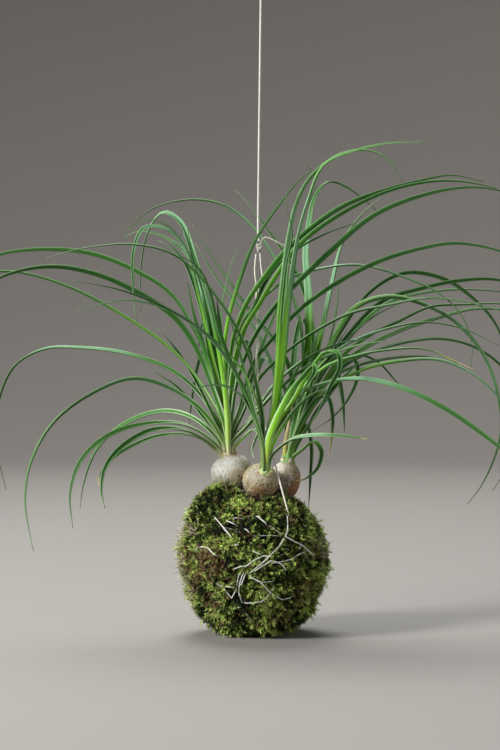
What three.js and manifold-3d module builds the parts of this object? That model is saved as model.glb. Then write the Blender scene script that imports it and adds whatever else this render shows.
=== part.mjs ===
// Kokedama: three young grass-leaved bulb plants in a moss ball wound with thread, on a doubled string.
// Millimetres, +Z up, +X to the viewer's right, +Y away from the viewer.
// The origin is the centre of the small flat spot that the ball rests on.
import * as THREE from 'three';
import { mergeVertices } from 'three/addons/utils/BufferGeometryUtils.js';
import Module from 'manifold-3d';

const wasm = await Module();
wasm.setup();

// Clearance that every piece keeps from the one it touches
const GAP = 0.3;

// The ball: its centre stands this high, and radii are measured from there
const BALL_Z = 56;
const MOSS_RADIUS = 51.5;
const MOSS_TUFT = 2.4;
const SOIL_RADIUS = 47.3;
// Where the moss stands out from its ball: the direction, where the rise begins and ends, and its height
const BULGES = [
  { towards: [-0.56, -0.08, 0.82], from: 0.86, to: 0.99, height: 8.5 },
  { towards: [-0.97, -0.1, 0.18], from: 0.86, to: 1, height: 2.2 },
  { towards: [0.99, 0, 0.05], from: 0.9, to: 1, height: 1.4 },
  { towards: [0, 0, -1], from: 0.3, to: 0.95, height: 6.6 },
];
const WAVE_HEIGHT = 0.5;

// The mound of soil under the bulbs
const MOUND = { from: 0.8, to: 0.93, height: 3.4, lumps: 1.1 };

// How finely the two balls are divided
const MOSS_DETAIL = 8;
const SOIL_DETAIL = 3;

// The open place on top, where the bulbs stand in bare soil: centre, half widths and lowest level
const OPENING = { x: 5, y: -4, halfX: 27, halfY: 23, floorZ: 86, topZ: 130 };

// Thread and string diameters
const THREAD = 1.1;
const STRAND = 1.0;
const LINE = 1.6;
const THREAD_HEIGHT = 3.6;

// The viewer stands level with this point, this far in front of the origin's plane
const VIEW = { x: -3, z: 193, distance: 1320 };

// Leaf blades: spine steps, keel depth as a share of width, and the thinnest width and keel at the tip
const LEAF_STEPS = 9;
const KEEL = 0.3;
const TIP_WIDTH = 0.9;
const THINNEST = 0.7;

// Bulb outlines as [radius, height] from the widest level, with the root plate below
const BULBS = {
  left: {
    centre: [-16.6, 7, 119.5], lean: [-0.18, 0, 1],
    outline: [[0, -22], [2.4, -21], [4.6, -16.5], [9, -13.4], [13.6, -9.2], [16, -3.2], [16.3, 1],
      [15.1, 5.8], [11.6, 10.2], [7.6, 12.4], [5.4, 13.4], [0, 13.4]],
  },
  front: {
    centre: [5, -14, 114.4], lean: [0.26, -0.74, 0.62],
    outline: [[0, -19], [2.2, -18], [4, -14], [7.6, -11.2], [11.4, -7.8], [13.4, -2.6], [13.6, 1],
      [12.4, 5.4], [9.4, 9.4], [6.2, 11.6], [4.4, 12.6], [0, 12.6]],
  },
  right: {
    centre: [23.6, 5, 114.6], lean: [0.12, 0.06, 1],
    outline: [[0, -20], [2, -19], [3.8, -15], [6.6, -12.8], [9.6, -9], [10.8, -3.6], [10.6, 1.4],
      [9.2, 6.2], [7.2, 10], [5.2, 12], [4.2, 12.8], [0, 12.8]],
  },
};
const ROOT_RADIUS = 1.2;

// Leaves of each plant. A row is blade width, depth that its tip gains on its foot (minus is towards the
// viewer), then the points [x, z] that the blade passes, as seen square from the front.
const LEAVES = {
  left: [
    [2.2, -60, [[-25, 134], [-42, 147], [-70, 148], [-100, 135], [-113, 123], [-117, 114], [-115, 109]]],
    [3.2, -85, [[-26, 137], [-50, 152], [-75, 152.5], [-97, 141], [-111, 125], [-114.5, 107], [-112, 93]]],
    [3.2, -35, [[-25, 139], [-50, 156], [-80, 157], [-110, 147.5], [-130, 129], [-138, 104], [-136, 78]]],
    [4.0, 70, [[-25, 142], [-45, 161], [-68, 166.5], [-97, 157], [-118, 138], [-128, 112], [-130.5, 93]]],
    [3.6, -75, [[-24, 145], [-40, 168], [-68, 186], [-92, 191], [-120, 181], [-150, 159], [-167, 130],
      [-172, 100], [-168, 72], [-165.5, 61]]],
    [4.0, 60, [[-23, 148], [-38, 176], [-60, 196], [-95, 209.5], [-130, 214], [-158, 213], [-180, 200],
      [-192, 172], [-192.5, 135], [-186, 107]]],
    [3.6, 30, [[-22, 155], [-38, 186], [-60, 212], [-100, 240], [-140, 260.5], [-180, 271], [-206, 268],
      [-228, 250], [-238, 226]]],
    [5.6, -60, [[-22, 160], [-30, 185], [-43, 215], [-60, 238], [-90, 257.5], [-120, 270], [-150, 275],
      [-180, 270.5], [-205, 258], [-222, 236]]],
    [3.6, 45, [[-21.5, 160], [-29, 192], [-41, 222], [-60, 253], [-85, 270], [-120, 284], [-155, 287.5],
      [-191, 283.5], [-216, 272], [-236, 250]]],
    [3.0, 80, [[-21, 165], [-29, 210], [-39, 250], [-49, 282], [-66, 296], [-86, 301], [-98, 296]]],
    [3.4, -50, [[-21.5, 165], [-30, 205], [-40, 250], [-52, 290], [-66, 303], [-82, 304], [-90, 288],
      [-90.5, 255], [-88, 232]]],
    [3.4, 62, [[-21, 165], [-27, 205], [-36, 250], [-45, 282], [-55, 308], [-68, 315.5], [-79, 303],
      [-85, 275], [-85, 240]]],
    [2.4, -30, [[-21, 168], [-28, 215], [-38, 255], [-50, 287], [-65, 305], [-80, 309.5], [-92, 304],
      [-98, 296]]],
    [4.4, 20, [[-22, 165], [-32, 210], [-38, 240], [-45, 262], [-52, 278], [-62, 289], [-72, 294]]],
    [3.6, -80, [[-20, 165], [-25, 205], [-32, 240], [-40, 268], [-47, 290], [-50, 304]]],
    [2.2, 45, [[-20.5, 170], [-26, 215], [-36, 255], [-46, 280], [-53, 299]]],
    [2.0, 30, [[-20, 170], [-24, 210], [-25, 232], [-23, 252], [-18, 273], [-13, 288]]],
    [3.0, -60, [[-20, 170], [-22.5, 210], [-19, 236], [-12, 260], [0, 292], [17, 318], [35, 340],
      [44, 347], [38, 349]]],
    [4.2, -34, [[-19.6, 160], [-19, 195], [-16, 220], [-6, 246], [8, 267], [20, 282], [36, 298], [65, 319],
      [95, 331], [125, 339], [148, 343], [172, 338]]],
    [4.4, -44, [[-19, 155], [-16.5, 195], [-8, 226], [4, 246], [15, 265], [34, 291], [60, 311], [100, 331],
      [140, 339], [175, 335], [206, 322]]],
    [2.8, -26, [[-18.8, 155], [-16, 200], [-9, 233], [5, 250], [24, 265], [50, 273.5], [80, 276],
      [110, 268], [140, 254], [157, 236], [164, 213], [162, 197]]],
    [4.6, -52, [[-18.6, 150], [-14, 185], [-3, 216], [12, 240], [28, 258], [55, 284], [90, 313],
      [130, 329], [165, 334], [200, 328]]],
    [4.2, -40, [[-18, 146], [-12, 168], [0, 203], [13, 219.5], [35, 243], [65, 264], [95, 279],
      [125, 288], [151, 292], [185, 286], [216, 272]]],
    [3.2, -30, [[-17.6, 144], [-10, 162], [4, 191], [25, 212], [48, 228], [72, 240], [100, 246],
      [130, 251], [160, 248], [192, 239]]],
    [3.4, -22, [[-17, 143], [-8, 158], [6, 179], [25, 196], [44, 209], [65, 217.5], [89, 220.5]]],
    [3.6, -46, [[-16.4, 142], [-6, 155], [7, 173], [22, 187], [40, 200.5], [60, 210], [80, 216], [100, 219]]],
    [2.4, -16, [[-18, 160], [-13, 205], [0, 247], [14, 272], [34, 288.5], [55, 299.5], [76, 307]]],
    [2.4, -12, [[-15, 139], [-8, 147], [-1, 152.5], [3, 150], [1, 144], [-1, 138], [0, 130.5]]],
    [4.0, 135, [[-22, 158], [-27, 185], [-33, 206], [-38, 213], [-42, 203], [-46, 180], [-49, 155]]],
    [3.6, 150, [[-21, 165], [-24, 205], [-28, 235], [-33, 246], [-38, 236], [-43, 205]]],
    [3.6, 110, [[-19, 160], [-16, 190], [-12, 212], [-7, 220], [-3, 210], [0, 185]]],
  ],
  front: [
    [5.0, -30, [[9, 140], [13, 170], [16.5, 200], [18, 240], [21, 270], [25, 297], [31, 322], [42, 342],
      [65, 359.5], [86, 362], [100, 356], [112, 337]]],
    [4.2, -62, [[10, 142], [16, 178], [21, 220], [25, 255], [31, 293], [39, 322], [52, 351], [80, 363],
      [105, 367.5], [129, 368]]],
    [3.2, -14, [[10.5, 142], [17, 172], [22, 205], [25.5, 240], [30.5, 280], [36, 310], [43, 326], [48, 336]]],
    [2.2, -45, [[9.5, 145], [14.5, 170], [18, 205], [20.5, 240], [24, 275], [28.5, 300], [25, 316],
      [23.5, 327]]],
    [3.0, -80, [[7.5, 142], [8, 158], [4.5, 180], [-2, 204], [-11, 226], [-28, 253], [-58, 283], [-90, 291.5],
      [-130, 288], [-155, 281]]],
    [3.4, -58, [[6.4, 138], [2, 157], [-9, 185], [-19, 207], [-27, 230], [-33, 255], [-42, 274], [-58, 284]]],
    [1.8, -42, [[7, 142], [3, 172], [-8, 196], [-28, 218], [-60, 240], [-92, 249], [-120, 245], [-132, 241]]],
    [2.6, -100, [[7, 140], [0, 165], [-12, 192], [-34, 222], [-65, 243], [-100, 257], [-135, 264]]],
    [2.0, -34, [[6.6, 139], [1, 158], [-10, 178], [-22, 185], [-38, 184.5], [-50, 178]]],
    [5.0, -45, [[11, 143], [17, 160], [27, 180], [37, 193], [45, 201], [46, 196], [41, 188], [35, 178]]],
    [3.6, -48, [[11, 139], [18, 157], [30, 176], [42, 197], [54, 211], [63, 210], [64.5, 199], [58, 186],
      [51, 171], [43, 156]]],
    [4.4, -66, [[11.5, 137], [20, 158], [34, 179], [55, 188.5], [82, 190.5], [110, 184], [140, 170],
      [170, 150], [197, 127], [213, 100], [218, 80]]],
    [3.2, -38, [[11, 138], [18, 156], [34, 181], [52, 199], [74, 207.5], [100, 212.5], [128, 213],
      [148, 205], [167, 196]]],
    [4.6, -24, [[12, 138], [18, 151], [28, 165], [38, 175], [48, 181], [58, 183]]],
    [3.2, -30, [[12, 132], [18, 138.5], [28, 145.5], [45, 148.3], [65, 147.5], [86, 145]]],
  ],
  right: [
    [5.0, 62, [[30, 150], [38, 190], [41, 225], [40.5, 255], [38.5, 285], [41, 307], [46, 328], [56, 338.5],
      [68, 335], [87, 321], [92, 316]]],
    [3.2, 74, [[29, 150], [37, 195], [36, 228], [29, 255], [17, 280], [0, 304], [-20, 320], [-45, 325],
      [-75, 318.5], [-95, 302], [-99, 294]]],
    [3.0, 100, [[30, 152], [42, 195], [44, 225], [39, 252], [28, 277], [14, 297], [-2, 319], [-13, 331]]],
    [2.8, 92, [[28, 152], [30, 182], [22, 210], [8, 229], [-5, 245], [-20, 266], [-33, 285], [-46, 305]]],
    [2.6, 112, [[27, 150], [25, 178], [12, 206], [2, 226], [-12, 246], [-28, 266], [-44, 292]]],
    [4.4, 26, [[30, 148], [42, 185], [50, 225], [58, 262], [65, 290], [74, 306], [85, 318], [97, 327]]],
    [2.0, 48, [[30, 148], [46, 190], [58, 225], [62.5, 250], [63, 272], [62, 285]]],
    [5.4, 34, [[31, 150], [44, 185], [58, 218], [75, 244], [100, 253], [126, 248], [153, 233], [174, 207],
      [185, 172], [185, 145], [172, 112], [160, 96]]],
    [3.2, 92, [[30, 150], [48, 195], [66, 228], [86, 255], [112, 269.5], [140, 266], [160, 254],
      [180, 233], [193, 200]]],
    [3.6, -28, [[27, 136], [31, 148], [38, 163], [49, 177], [55, 177], [59, 163], [58.5, 148], [56, 132]]],
    [3.2, -18, [[29, 142], [38, 168], [51, 197], [64, 208], [75, 205.5], [78, 194], [72, 177], [60, 162],
      [44, 151]]],
    [4.2, 40, [[30, 143], [42, 170], [60, 195], [77, 208.5], [92, 204], [107, 188], [113, 182]]],
    [3.6, 24, [[30, 146], [44, 175], [60, 193], [78, 201], [105, 206.5], [130, 207], [152, 202]]],
    [4.0, -30, [[29.5, 140], [40, 164], [56, 184], [80, 197.5], [110, 204.5], [140, 205], [165, 194],
      [184, 176], [197, 146]]],
    [3.4, 70, [[30, 146], [46, 178], [70, 202], [100, 215], [140, 221], [170, 212.5], [193, 191],
      [200, 160], [192, 128], [179, 106]]],
    [3.8, 50, [[31, 145], [44, 172], [60, 196], [80, 212], [110, 227], [140, 237], [170, 243.5], [205, 237],
      [236, 212]]],
    [3.0, -12, [[29.5, 144], [36, 172], [50, 201], [70, 217], [100, 228.5], [130, 233], [157, 228],
      [184, 215]]],
    [3.8, 10, [[31, 144], [44, 174], [62, 204], [87, 224], [110, 235], [132, 245], [158, 246.5], [190, 246],
      [216, 233]]],
    [3.6, 78, [[30, 148], [46, 190], [67, 220], [95, 248], [125, 258], [155, 264], [185, 264], [226, 247]]],
    [2.8, 112, [[30, 148], [48, 188], [72, 222], [100, 247], [130, 255.5], [165, 257.5], [196, 253],
      [222, 238]]],
    [2.4, 56, [[29.5, 146], [44, 182], [66, 216], [90, 237], [110, 247], [122, 250.5]]],
    [4.6, 8, [[27.4, 138], [29, 148], [31.5, 158], [33, 166]]],
    [2.6, -10, [[23.6, 135], [24.4, 146], [26.6, 159], [29, 171]]],
    [3.4, 14, [[29, 138], [34, 151], [40, 156], [43.5, 141], [42.6, 118], [41, 94]]],
    [2.4, -16, [[28, 131.5], [36, 138], [45, 143.5], [50.5, 136], [47.5, 123], [38, 115], [31, 113.5]]],
    [2.0, 12, [[29, 132.5], [35, 137], [41, 142]]],
    [4.2, 128, [[30, 150], [38, 180], [46, 202], [54, 210], [60, 202], [66, 178], [68, 150]]],
    [3.8, 150, [[27, 150], [29, 190], [32, 222], [36, 236], [40, 228], [45, 200]]],
    [3.6, 120, [[25.5, 148], [20, 178], [14, 198], [8, 206], [3, 197], [0, 172]]],
  ],
};

// Where each plant's leaves leave its bulb: the foot and its direction, then the sheath of leaf bases
// that rises from it, with its top and its radius below and above
const CROWNS = {
  left: { foot: [-19.1, 7, 133.3], lean: [-0.18, 0, 1], top: [-20.2, 7, 150], radii: [5, 3.4] },
  front: { foot: [8.4, -23.7, 122.5], lean: [0.26, -0.74, 0.62], top: [8.8, -27, 148], radii: [3.8, 2.8] },
  right: { foot: [25.3, 5.9, 127.8], lean: [0.12, 0.06, 1], top: [29, 7, 147], radii: [4.4, 3.2] },
};
const STUB = { height: 3, radius: 4.3 };

// Thread loops round the ball as [degrees to the right of front, degrees above the middle]
const LOOPS = [
  [[-42, 36], [-26, 25], [-17, 14], [-2, 6], [7, 2], [27, -10], [51, -20], [90, -32], [135, -38],
    [180, -25], [225, 0], [270, 20]],
  [[-57, 4], [-46, 8], [-38, 8], [-30, 1], [-17, -9], [-6, -6], [7, 2], [17, 1], [43, 3], [90, 12],
    [135, 8], [180, -4], [225, -8], [270, -2]],
  [[-28, 31], [-15, 27], [-2, 18], [12, 17], [27, 16], [37, 12], [49, 5], [60, -3], [90, -18], [130, -28],
    [180, -20], [230, 0], [270, 18], [305, 29]],
  [[-30, 40], [1, 37], [12, 27], [23, 21], [40, 12], [60, 0], [100, -15], [150, -25], [200, -15],
    [250, 10], [290, 30]],
  [[31, 12], [18, 4], [4, -8], [-5, -15], [-11, -23], [-14, -32], [-16, -45], [-40, -56], [-80, -57],
    [-120, -54], [-160, -40], [-190, -20], [-210, 5], [-240, 25], [-270, 34], [-300, 28]],
  [[-17, 11], [-8, 9], [3, 8], [12, 10], [27, 16], [48, 28], [80, 36], [120, 35], [160, 25], [200, 5],
    [240, -8], [275, -6], [310, 4]],
  [[-13, -38], [-9, -24], [-1, -12], [9, -5], [17, -4], [23, -6], [29, -12], [45, -30], [70, -44],
    [110, -51], [150, -50], [190, -45], [230, -48], [280, -54], [320, -50]],
];
const LOOP_STEPS = 20;

// The strand that runs on from the front leg down into the winding
const RUN_ON = [[36, 38], [33, 29], [29.5, 21], [27, 15], [16, 3], [3, -9], [-5, -16]];

// String routes. The front and back strands rise from the ball, pair up, pass the lower knot and part
// again round the small eye below the upper knot; the line carries on to the loop it hangs by.
const FRONT_STRAND = [[25.8, -33.6, 87.6], [25, -32.3, 91.5], [19.3, -24.2, 113], [13.6, -16.1, 135],
  [7.9, -8, 157], [3.6, -1.9, 174], [2.7, -0.8, 184], [2.9, 0, 194], [2.2, 0.8, 206], [1.7, 0, 218],
  [2.3, -0.8, 230], [3.2, 0, 242], [3.3, 0.3, 252], [3.6, 0.1, 259], [4.6, 0, 263], [6.2, 0, 267],
  [5.6, 0, 272], [5, 0, 278], [4.6, 0, 284.8]];
const BACK_STRAND = [[-10.5, 41.6, 88.4], [-10, 40, 92.2], [-7.2, 31, 113], [-4.2, 21.4, 135],
  [-1.2, 11.9, 157], [1, 4.4, 174.5], [1.5, 1.1, 184.5], [1.2, 0.1, 194], [1.7, -0.8, 206], [3.3, 0, 218],
  [2.6, 0.9, 230], [1.6, 0, 242], [1.7, -0.3, 252], [2.2, -0.1, 259], [1.3, 0, 264], [0.7, 0, 270],
  [0.9, 0, 277], [1.6, 0, 283.7]];
const HANGING_LINE = [[3.7, 0, 293.4], [3.3, 0, 297], [3.1, 0, 304], [3.2, 0, 322], [3.5, 0, 344],
  [3.8, 0, 370], [4.2, 0, 400], [4.7, 0, 440], [5.1, 0, 470], [5.4, 0, 487.5]];
const TAIL = [[4.9, 0, 290.5], [6.2, -0.3, 294.4], [8.5, -0.5, 296.1], [14, -1, 294.4], [20, -1.4, 291.2],
  [24, -1.2, 289.4], [28, -0.6, 288]];
const LOOP_TOP = [[5.4, 0, 490], [9.3, 0, 497], [8.7, 0, 505], [5.4, 0, 508.5], [2.1, 0, 505], [1.5, 0, 497]];
const LOWER_KNOT = { centre: [2.9, 0, 260], ring: 2.15, thickness: 1.0 };
const UPPER_KNOTS = [
  { centre: [4.3, 0, 288.9], half: [1.6, 1.6, 3.7] },
  { centre: [1.7, 0, 286.5], half: [1.5, 1.5, 2.5] },
];
const LOOP_KNOT = { centre: [5.4, 0, 490.6], half: [2, 1.9, 2.8] };

const vec = (values) => new THREE.Vector3(...values);
const smooth = (value, low, high) => THREE.MathUtils.smoothstep(value, low, high);

// A closed solid of a geometry, with shared corners merged and collapsed triangles dropped
function solidOf(geometry) {
  const bare = new THREE.BufferGeometry();
  bare.setAttribute('position', geometry.getAttribute('position'));
  if (geometry.index) bare.setIndex(geometry.index);
  const merged = mergeVertices(bare, 1e-4);
  const corners = merged.index.array;
  const kept = [];
  for (let i = 0; i < corners.length; i += 3) {
    const [a, b, c] = [corners[i], corners[i + 1], corners[i + 2]];
    if (a !== b && b !== c && a !== c) kept.push(a, b, c);
  }
  return new wasm.Manifold(new wasm.Mesh({
    numProp: 3,
    vertProperties: new Float32Array(merged.getAttribute('position').array),
    triVerts: new Uint32Array(kept),
  }));
}

// The largest piece of a solid, without the loose scraps that a cut leaves
function mainBody(solid) {
  const pieces = solid.decompose().sort((a, b) => b.volume() - a.volume());
  return pieces[0];
}

function geometryOf(solid) {
  const mesh = solid.getMesh();
  const geometry = new THREE.BufferGeometry();
  geometry.setAttribute('position', new THREE.BufferAttribute(new Float32Array(mesh.vertProperties), 3));
  geometry.setIndex(new THREE.BufferAttribute(new Uint32Array(mesh.triVerts), 1));
  geometry.computeVertexNormals();
  return geometry;
}

const union = (solids) => solids.reduce((joined, next) => joined.add(next));

// Turns a solid made along +Z to lie along a direction, then moves it
function placed(geometry, direction, position) {
  const turn = new THREE.Quaternion().setFromUnitVectors(new THREE.Vector3(0, 0, 1), direction);
  return geometry.applyQuaternion(turn).translate(...position);
}

// A round tube along a route, with a step every few diameters
function tube(route, diameter, steps, sides = 8) {
  const section = new THREE.Shape();
  section.absarc(0, 0, diameter / 2, 0, 2 * Math.PI, false);
  const outline = new THREE.Shape(section.getSpacedPoints(sides).slice(0, sides));
  const path = new THREE.CatmullRomCurve3(route.map(vec), false, 'centripetal');
  return new THREE.ExtrudeGeometry(outline, { steps, extrudePath: path, bevelEnabled: false });
}

// A closed ring of thread: a torus whose own circle is laid along a closed curve round a centre
function ringTube(points, diameter, steps, sides, centre) {
  const curve = new THREE.CatmullRomCurve3(points, true, 'centripetal');
  const geometry = new THREE.TorusGeometry(1, 0.1, sides, steps);
  const position = geometry.getAttribute('position');
  for (let i = 0; i < position.count; i++) {
    const along = (i % (steps + 1)) / steps % 1;
    const around = 2 * Math.PI * (Math.floor(i / (steps + 1)) % sides) / sides;
    const middle = curve.getPointAt(along);
    const tangent = curve.getTangentAt(along);
    const out = middle.clone().sub(centre);
    out.addScaledVector(tangent, -out.dot(tangent)).normalize();
    const side = out.clone().cross(tangent);
    middle.addScaledVector(out, Math.cos(around) * diameter / 2);
    middle.addScaledVector(side, Math.sin(around) * diameter / 2);
    position.setXYZ(i, middle.x, middle.y, middle.z);
  }
  return geometry;
}

// Broad form of the moss ball: radius in a direction, before tufts
function mossRadius(dir) {
  const rises = BULGES.map(({ towards, from, to, height }) => (
    height * smooth(dir.dot(vec(towards).normalize()), from, to)));
  const waves = Math.sin(3.1 * dir.x + 1.3) * Math.cos(2.7 * dir.z) + Math.sin(4.3 * dir.y - 2.1 * dir.z);
  return MOSS_RADIUS + rises.reduce((sum, rise) => sum + rise) + WAVE_HEIGHT * waves;
}

// Broad form of the soil inside: a ball with a mound under the bulbs
function soilRadius(dir) {
  const mound = smooth(dir.z, MOUND.from, MOUND.to);
  const lumps = Math.sin(11 * dir.x + 2) * Math.sin(9 * dir.y + 1);
  return SOIL_RADIUS + mound * (MOUND.height + MOUND.lumps * lumps);
}

// A ball of triangles whose corners stand at the radius that a function gives
function lumpyBall(detail, radiusAt) {
  const geometry = new THREE.IcosahedronGeometry(1, detail);
  const position = geometry.getAttribute('position');
  const dir = new THREE.Vector3();
  for (let i = 0; i < position.count; i++) {
    dir.fromBufferAttribute(position, i).normalize();
    const radius = radiusAt(dir);
    position.setXYZ(i, dir.x * radius, dir.y * radius, dir.z * radius + BALL_Z);
  }
  return geometry;
}

// Height of the tuft at a corner of the moss, the same each time for the same direction
function tuft(dir) {
  const mix = Math.sin(dir.x * 127.1 + dir.y * 311.7 + dir.z * 74.7) * 43758.5453;
  const draw = mix - Math.floor(mix);
  const plain = 1 - smooth(-dir.z, 0.86, 0.9);
  return (draw * (MOSS_TUFT + 0.8) - 0.8) * plain;
}

// A bulb with its root plate and stout roots; grow widens all of it, for the socket it stands in
function bulbSolid(name, grow) {
  const { centre, lean, outline } = BULBS[name];
  const axis = vec(lean).normalize();
  const points = outline.map(([radius, height], i) => {
    const onAxis = i === 0 || i === outline.length - 1;
    return new THREE.Vector2(onAxis ? 0 : radius + grow, height + Math.sign(height) * grow);
  });
  const body = new THREE.LatheGeometry(points, 12).rotateX(Math.PI / 2);
  const bulb = solidOf(placed(body, axis, centre));
  const foot = vec(centre).addScaledVector(axis, outline[1][1] * 0.75);
  const roots = [0, 1, 2].map((i) => {
    const turn = i * 2 * Math.PI / 3 + 0.6;
    const [dx, dy] = [Math.cos(turn), Math.sin(turn)];
    const route = [[0, 0, 3], [4 * dx, 4 * dy, -6], [7 * dx, 7 * dy, -15 - grow], [8 * dx, 8 * dy, -24 - grow]];
    const path = route.map(([x, y, z]) => [foot.x * (1 - 0.01 * (3 - z)) + x, foot.y + y, foot.z + z]);
    return solidOf(tube(path, 2 * (ROOT_RADIUS + grow), 3, 5));
  });
  return union([bulb, ...roots]);
}

const stubTop = (crown) => vec(crown.foot).addScaledVector(vec(crown.lean).normalize(), STUB.height);

// Where in the sheath a leaf starts: a little below its first mark
function leafFoot(crown, firstMark) {
  const [low, high] = [stubTop(crown), vec(crown.top)];
  const share = (firstMark[1] - 8 - low.z) / (high.z - low.z);
  return low.lerp(high, THREE.MathUtils.clamp(share, 0.05, 0.75));
}

// A leaf's spine before it is bent clear of its neighbours
function leafSpine(crown, [, reach, marks]) {
  const foot = leafFoot(crown, marks[0]);
  const flat = [[foot.x, foot.z], ...marks];
  const along = [0];
  for (let i = 1; i < flat.length; i++) {
    along.push(along[i - 1] + Math.hypot(flat[i][0] - flat[i - 1][0], flat[i][1] - flat[i - 1][1]));
  }
  const points = flat.map(([x, z], i) => {
    const y = foot.y + reach * (along[i] / along.at(-1)) ** 1.3;
    const nearer = i === 0 ? 1 : 1 + y / VIEW.distance;
    return new THREE.Vector3(VIEW.x + (x - VIEW.x) * nearer, y, VIEW.z + (z - VIEW.z) * nearer);
  });
  return new THREE.CatmullRomCurve3(points, false, 'centripetal').getSpacedPoints(LEAF_STEPS);
}

// Shares of two segments at which they come closest
function closestShares(a, b, c, d) {
  const ab = b.clone().sub(a);
  const cd = d.clone().sub(c);
  const ca = a.clone().sub(c);
  const [aa, ee, bb] = [ab.dot(ab), cd.dot(cd), ab.dot(cd)];
  const [cc, ff] = [ab.dot(ca), cd.dot(ca)];
  const base = aa * ee - bb * bb;
  let s = base > 1e-9 ? THREE.MathUtils.clamp((bb * ff - cc * ee) / base, 0, 1) : 0;
  const t = THREE.MathUtils.clamp((bb * s + ff) / ee, 0, 1);
  s = THREE.MathUtils.clamp((bb * t - cc) / aa, 0, 1);
  return [s, t];
}

// Bends the leaves of different plants, and the string, clear of each other, mostly in depth
const BEND = { rounds: 80, rest: 0.6, side: 0.3, share: 0.55, fixedPoints: 2, spread: 0.62, room: 1.3 };

function bendClear(leaves, lines, balls) {
  const tracks = [...leaves, ...lines];
  for (let round = 0; round < BEND.rounds; round++) {
    const pushes = tracks.map((track) => track.spine.map(() => new THREE.Vector3()));
    for (let i = 0; i < leaves.length; i++) {
      for (let j = i + 1; j < tracks.length; j++) pushPair(tracks[i], tracks[j], pushes[i], pushes[j]);
    }
    leaves.forEach((leaf, i) => {
      pushFromBalls(leaf, balls, pushes[i]);
      moveSpine(leaf.spine, pushes[i]);
    });
  }
}

function pushPair(one, two, pushOne, pushTwo) {
  if (one.plant === two.plant) return;
  const need = BEND.spread * (one.width + two.width) + BEND.room;
  const shareOne = two.plant === 'string' ? 1 : 0.5;
  for (let i = 0; i < one.spine.length - 1; i++) {
    const [a, b] = [one.spine[i], one.spine[i + 1]];
    for (let j = 0; j < two.spine.length - 1; j++) {
      const [c, d] = [two.spine[j], two.spine[j + 1]];
      if (Math.min(a.z, b.z) > Math.max(c.z, d.z) + need) continue;
      if (Math.min(c.z, d.z) > Math.max(a.z, b.z) + need) continue;
      if (Math.min(a.x, b.x) > Math.max(c.x, d.x) + need) continue;
      if (Math.min(c.x, d.x) > Math.max(a.x, b.x) + need) continue;
      const [s, t] = closestShares(a, b, c, d);
      const apart = a.clone().lerp(b, s).sub(c.clone().lerp(d, t));
      const distance = apart.length();
      if (distance >= need) continue;
      apart.set(apart.x * BEND.side, apart.y || 1e-3, apart.z * BEND.side).normalize();
      apart.multiplyScalar((need - distance) * BEND.share);
      pushOne[i].addScaledVector(apart, shareOne * (1 - s));
      pushOne[i + 1].addScaledVector(apart, shareOne * s);
      pushTwo[j].addScaledVector(apart, (shareOne - 1) * (1 - t));
      pushTwo[j + 1].addScaledVector(apart, (shareOne - 1) * t);
    }
  }
}

function pushFromBalls(leaf, balls, push) {
  leaf.spine.forEach((point, i) => {
    balls.forEach(({ centre, radius }) => {
      const out = point.clone().sub(centre);
      const short = radius + leaf.width / 2 - out.length();
      if (short > 0) push[i].addScaledVector(out.normalize(), short);
    });
  });
}

function moveSpine(spine, push) {
  for (let i = BEND.fixedPoints; i < spine.length; i++) {
    const before = push[i - 1];
    const after = push[Math.min(i + 1, spine.length - 1)];
    spine[i].addScaledVector(before, 0.3).addScaledVector(push[i], BEND.rest + 0.1).addScaledVector(after, 0.3);
  }
}

// Blade width at a share of its length: a clasping foot, a long even stretch and a drawn-out tip
function bladeWidth(width, share) {
  const foot = 1 + 0.3 * (1 - smooth(share, 0, 0.12));
  const taper = (1 - Math.max(0, (share - 0.45) / 0.55) ** 1.7);
  return Math.max(TIP_WIDTH, width * foot * taper);
}

// A leaf blade: a long three-sided prism with a flat upper face and a keel below, bent along its spine
function leafSolid({ spine, width, roll }) {
  const geometry = new THREE.CylinderGeometry(1, 1, 1, 3, LEAF_STEPS);
  const position = geometry.getAttribute('position');
  const curve = new THREE.CatmullRomCurve3(spine, false, 'centripetal');
  const out = spine.at(-1).clone().sub(spine[0]).setZ(0).normalize();
  const across = new THREE.Vector3(0, 0, 1).cross(out);
  for (let i = 0; i < position.count; i++) {
    const share = position.getY(i) + 0.5;
    const step = Math.round(share * LEAF_STEPS);
    const tangent = curve.getTangent(Math.min(step / LEAF_STEPS, 0.9999));
    const turn = roll + 0.3 * Math.sin(3 * share + 7 * roll);
    const side = across.clone().addScaledVector(tangent, -across.dot(tangent)).normalize();
    const up = tangent.clone().cross(side);
    const edge = side.clone().multiplyScalar(Math.cos(turn)).addScaledVector(up, Math.sin(turn));
    const face = up.clone().multiplyScalar(Math.cos(turn)).addScaledVector(side, -Math.sin(turn));
    const blade = bladeWidth(width, share);
    const keel = Math.max(THINNEST, KEEL * blade);
    const point = spine[step].clone();
    point.addScaledVector(edge, position.getX(i) / Math.sin(Math.PI / 3) * blade / 2);
    point.addScaledVector(face, -(position.getZ(i) + 0.5) / 1.5 * keel);
    position.setXYZ(i, point.x, point.y, point.z);
  }
  return solidOf(geometry);
}

// The short stem foot and the sheath of leaf bases that the leaves of one plant grow from
function crownSolid(crown) {
  const [low, high] = crown.radii;
  const height = STUB.height + 1;
  const stub = new THREE.CylinderGeometry(low, STUB.radius, height, 10).rotateX(Math.PI / 2);
  stub.translate(0, 0, height / 2);
  const foot = solidOf(placed(stub, vec(crown.lean).normalize(), crown.foot));
  const rise = vec(crown.top).sub(stubTop(crown));
  const sheath = new THREE.CylinderGeometry(high, low, rise.length(), 10).rotateX(Math.PI / 2);
  const middle = stubTop(crown).addScaledVector(rise, 0.5).toArray();
  return foot.add(solidOf(placed(sheath, rise.normalize(), middle)));
}

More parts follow.
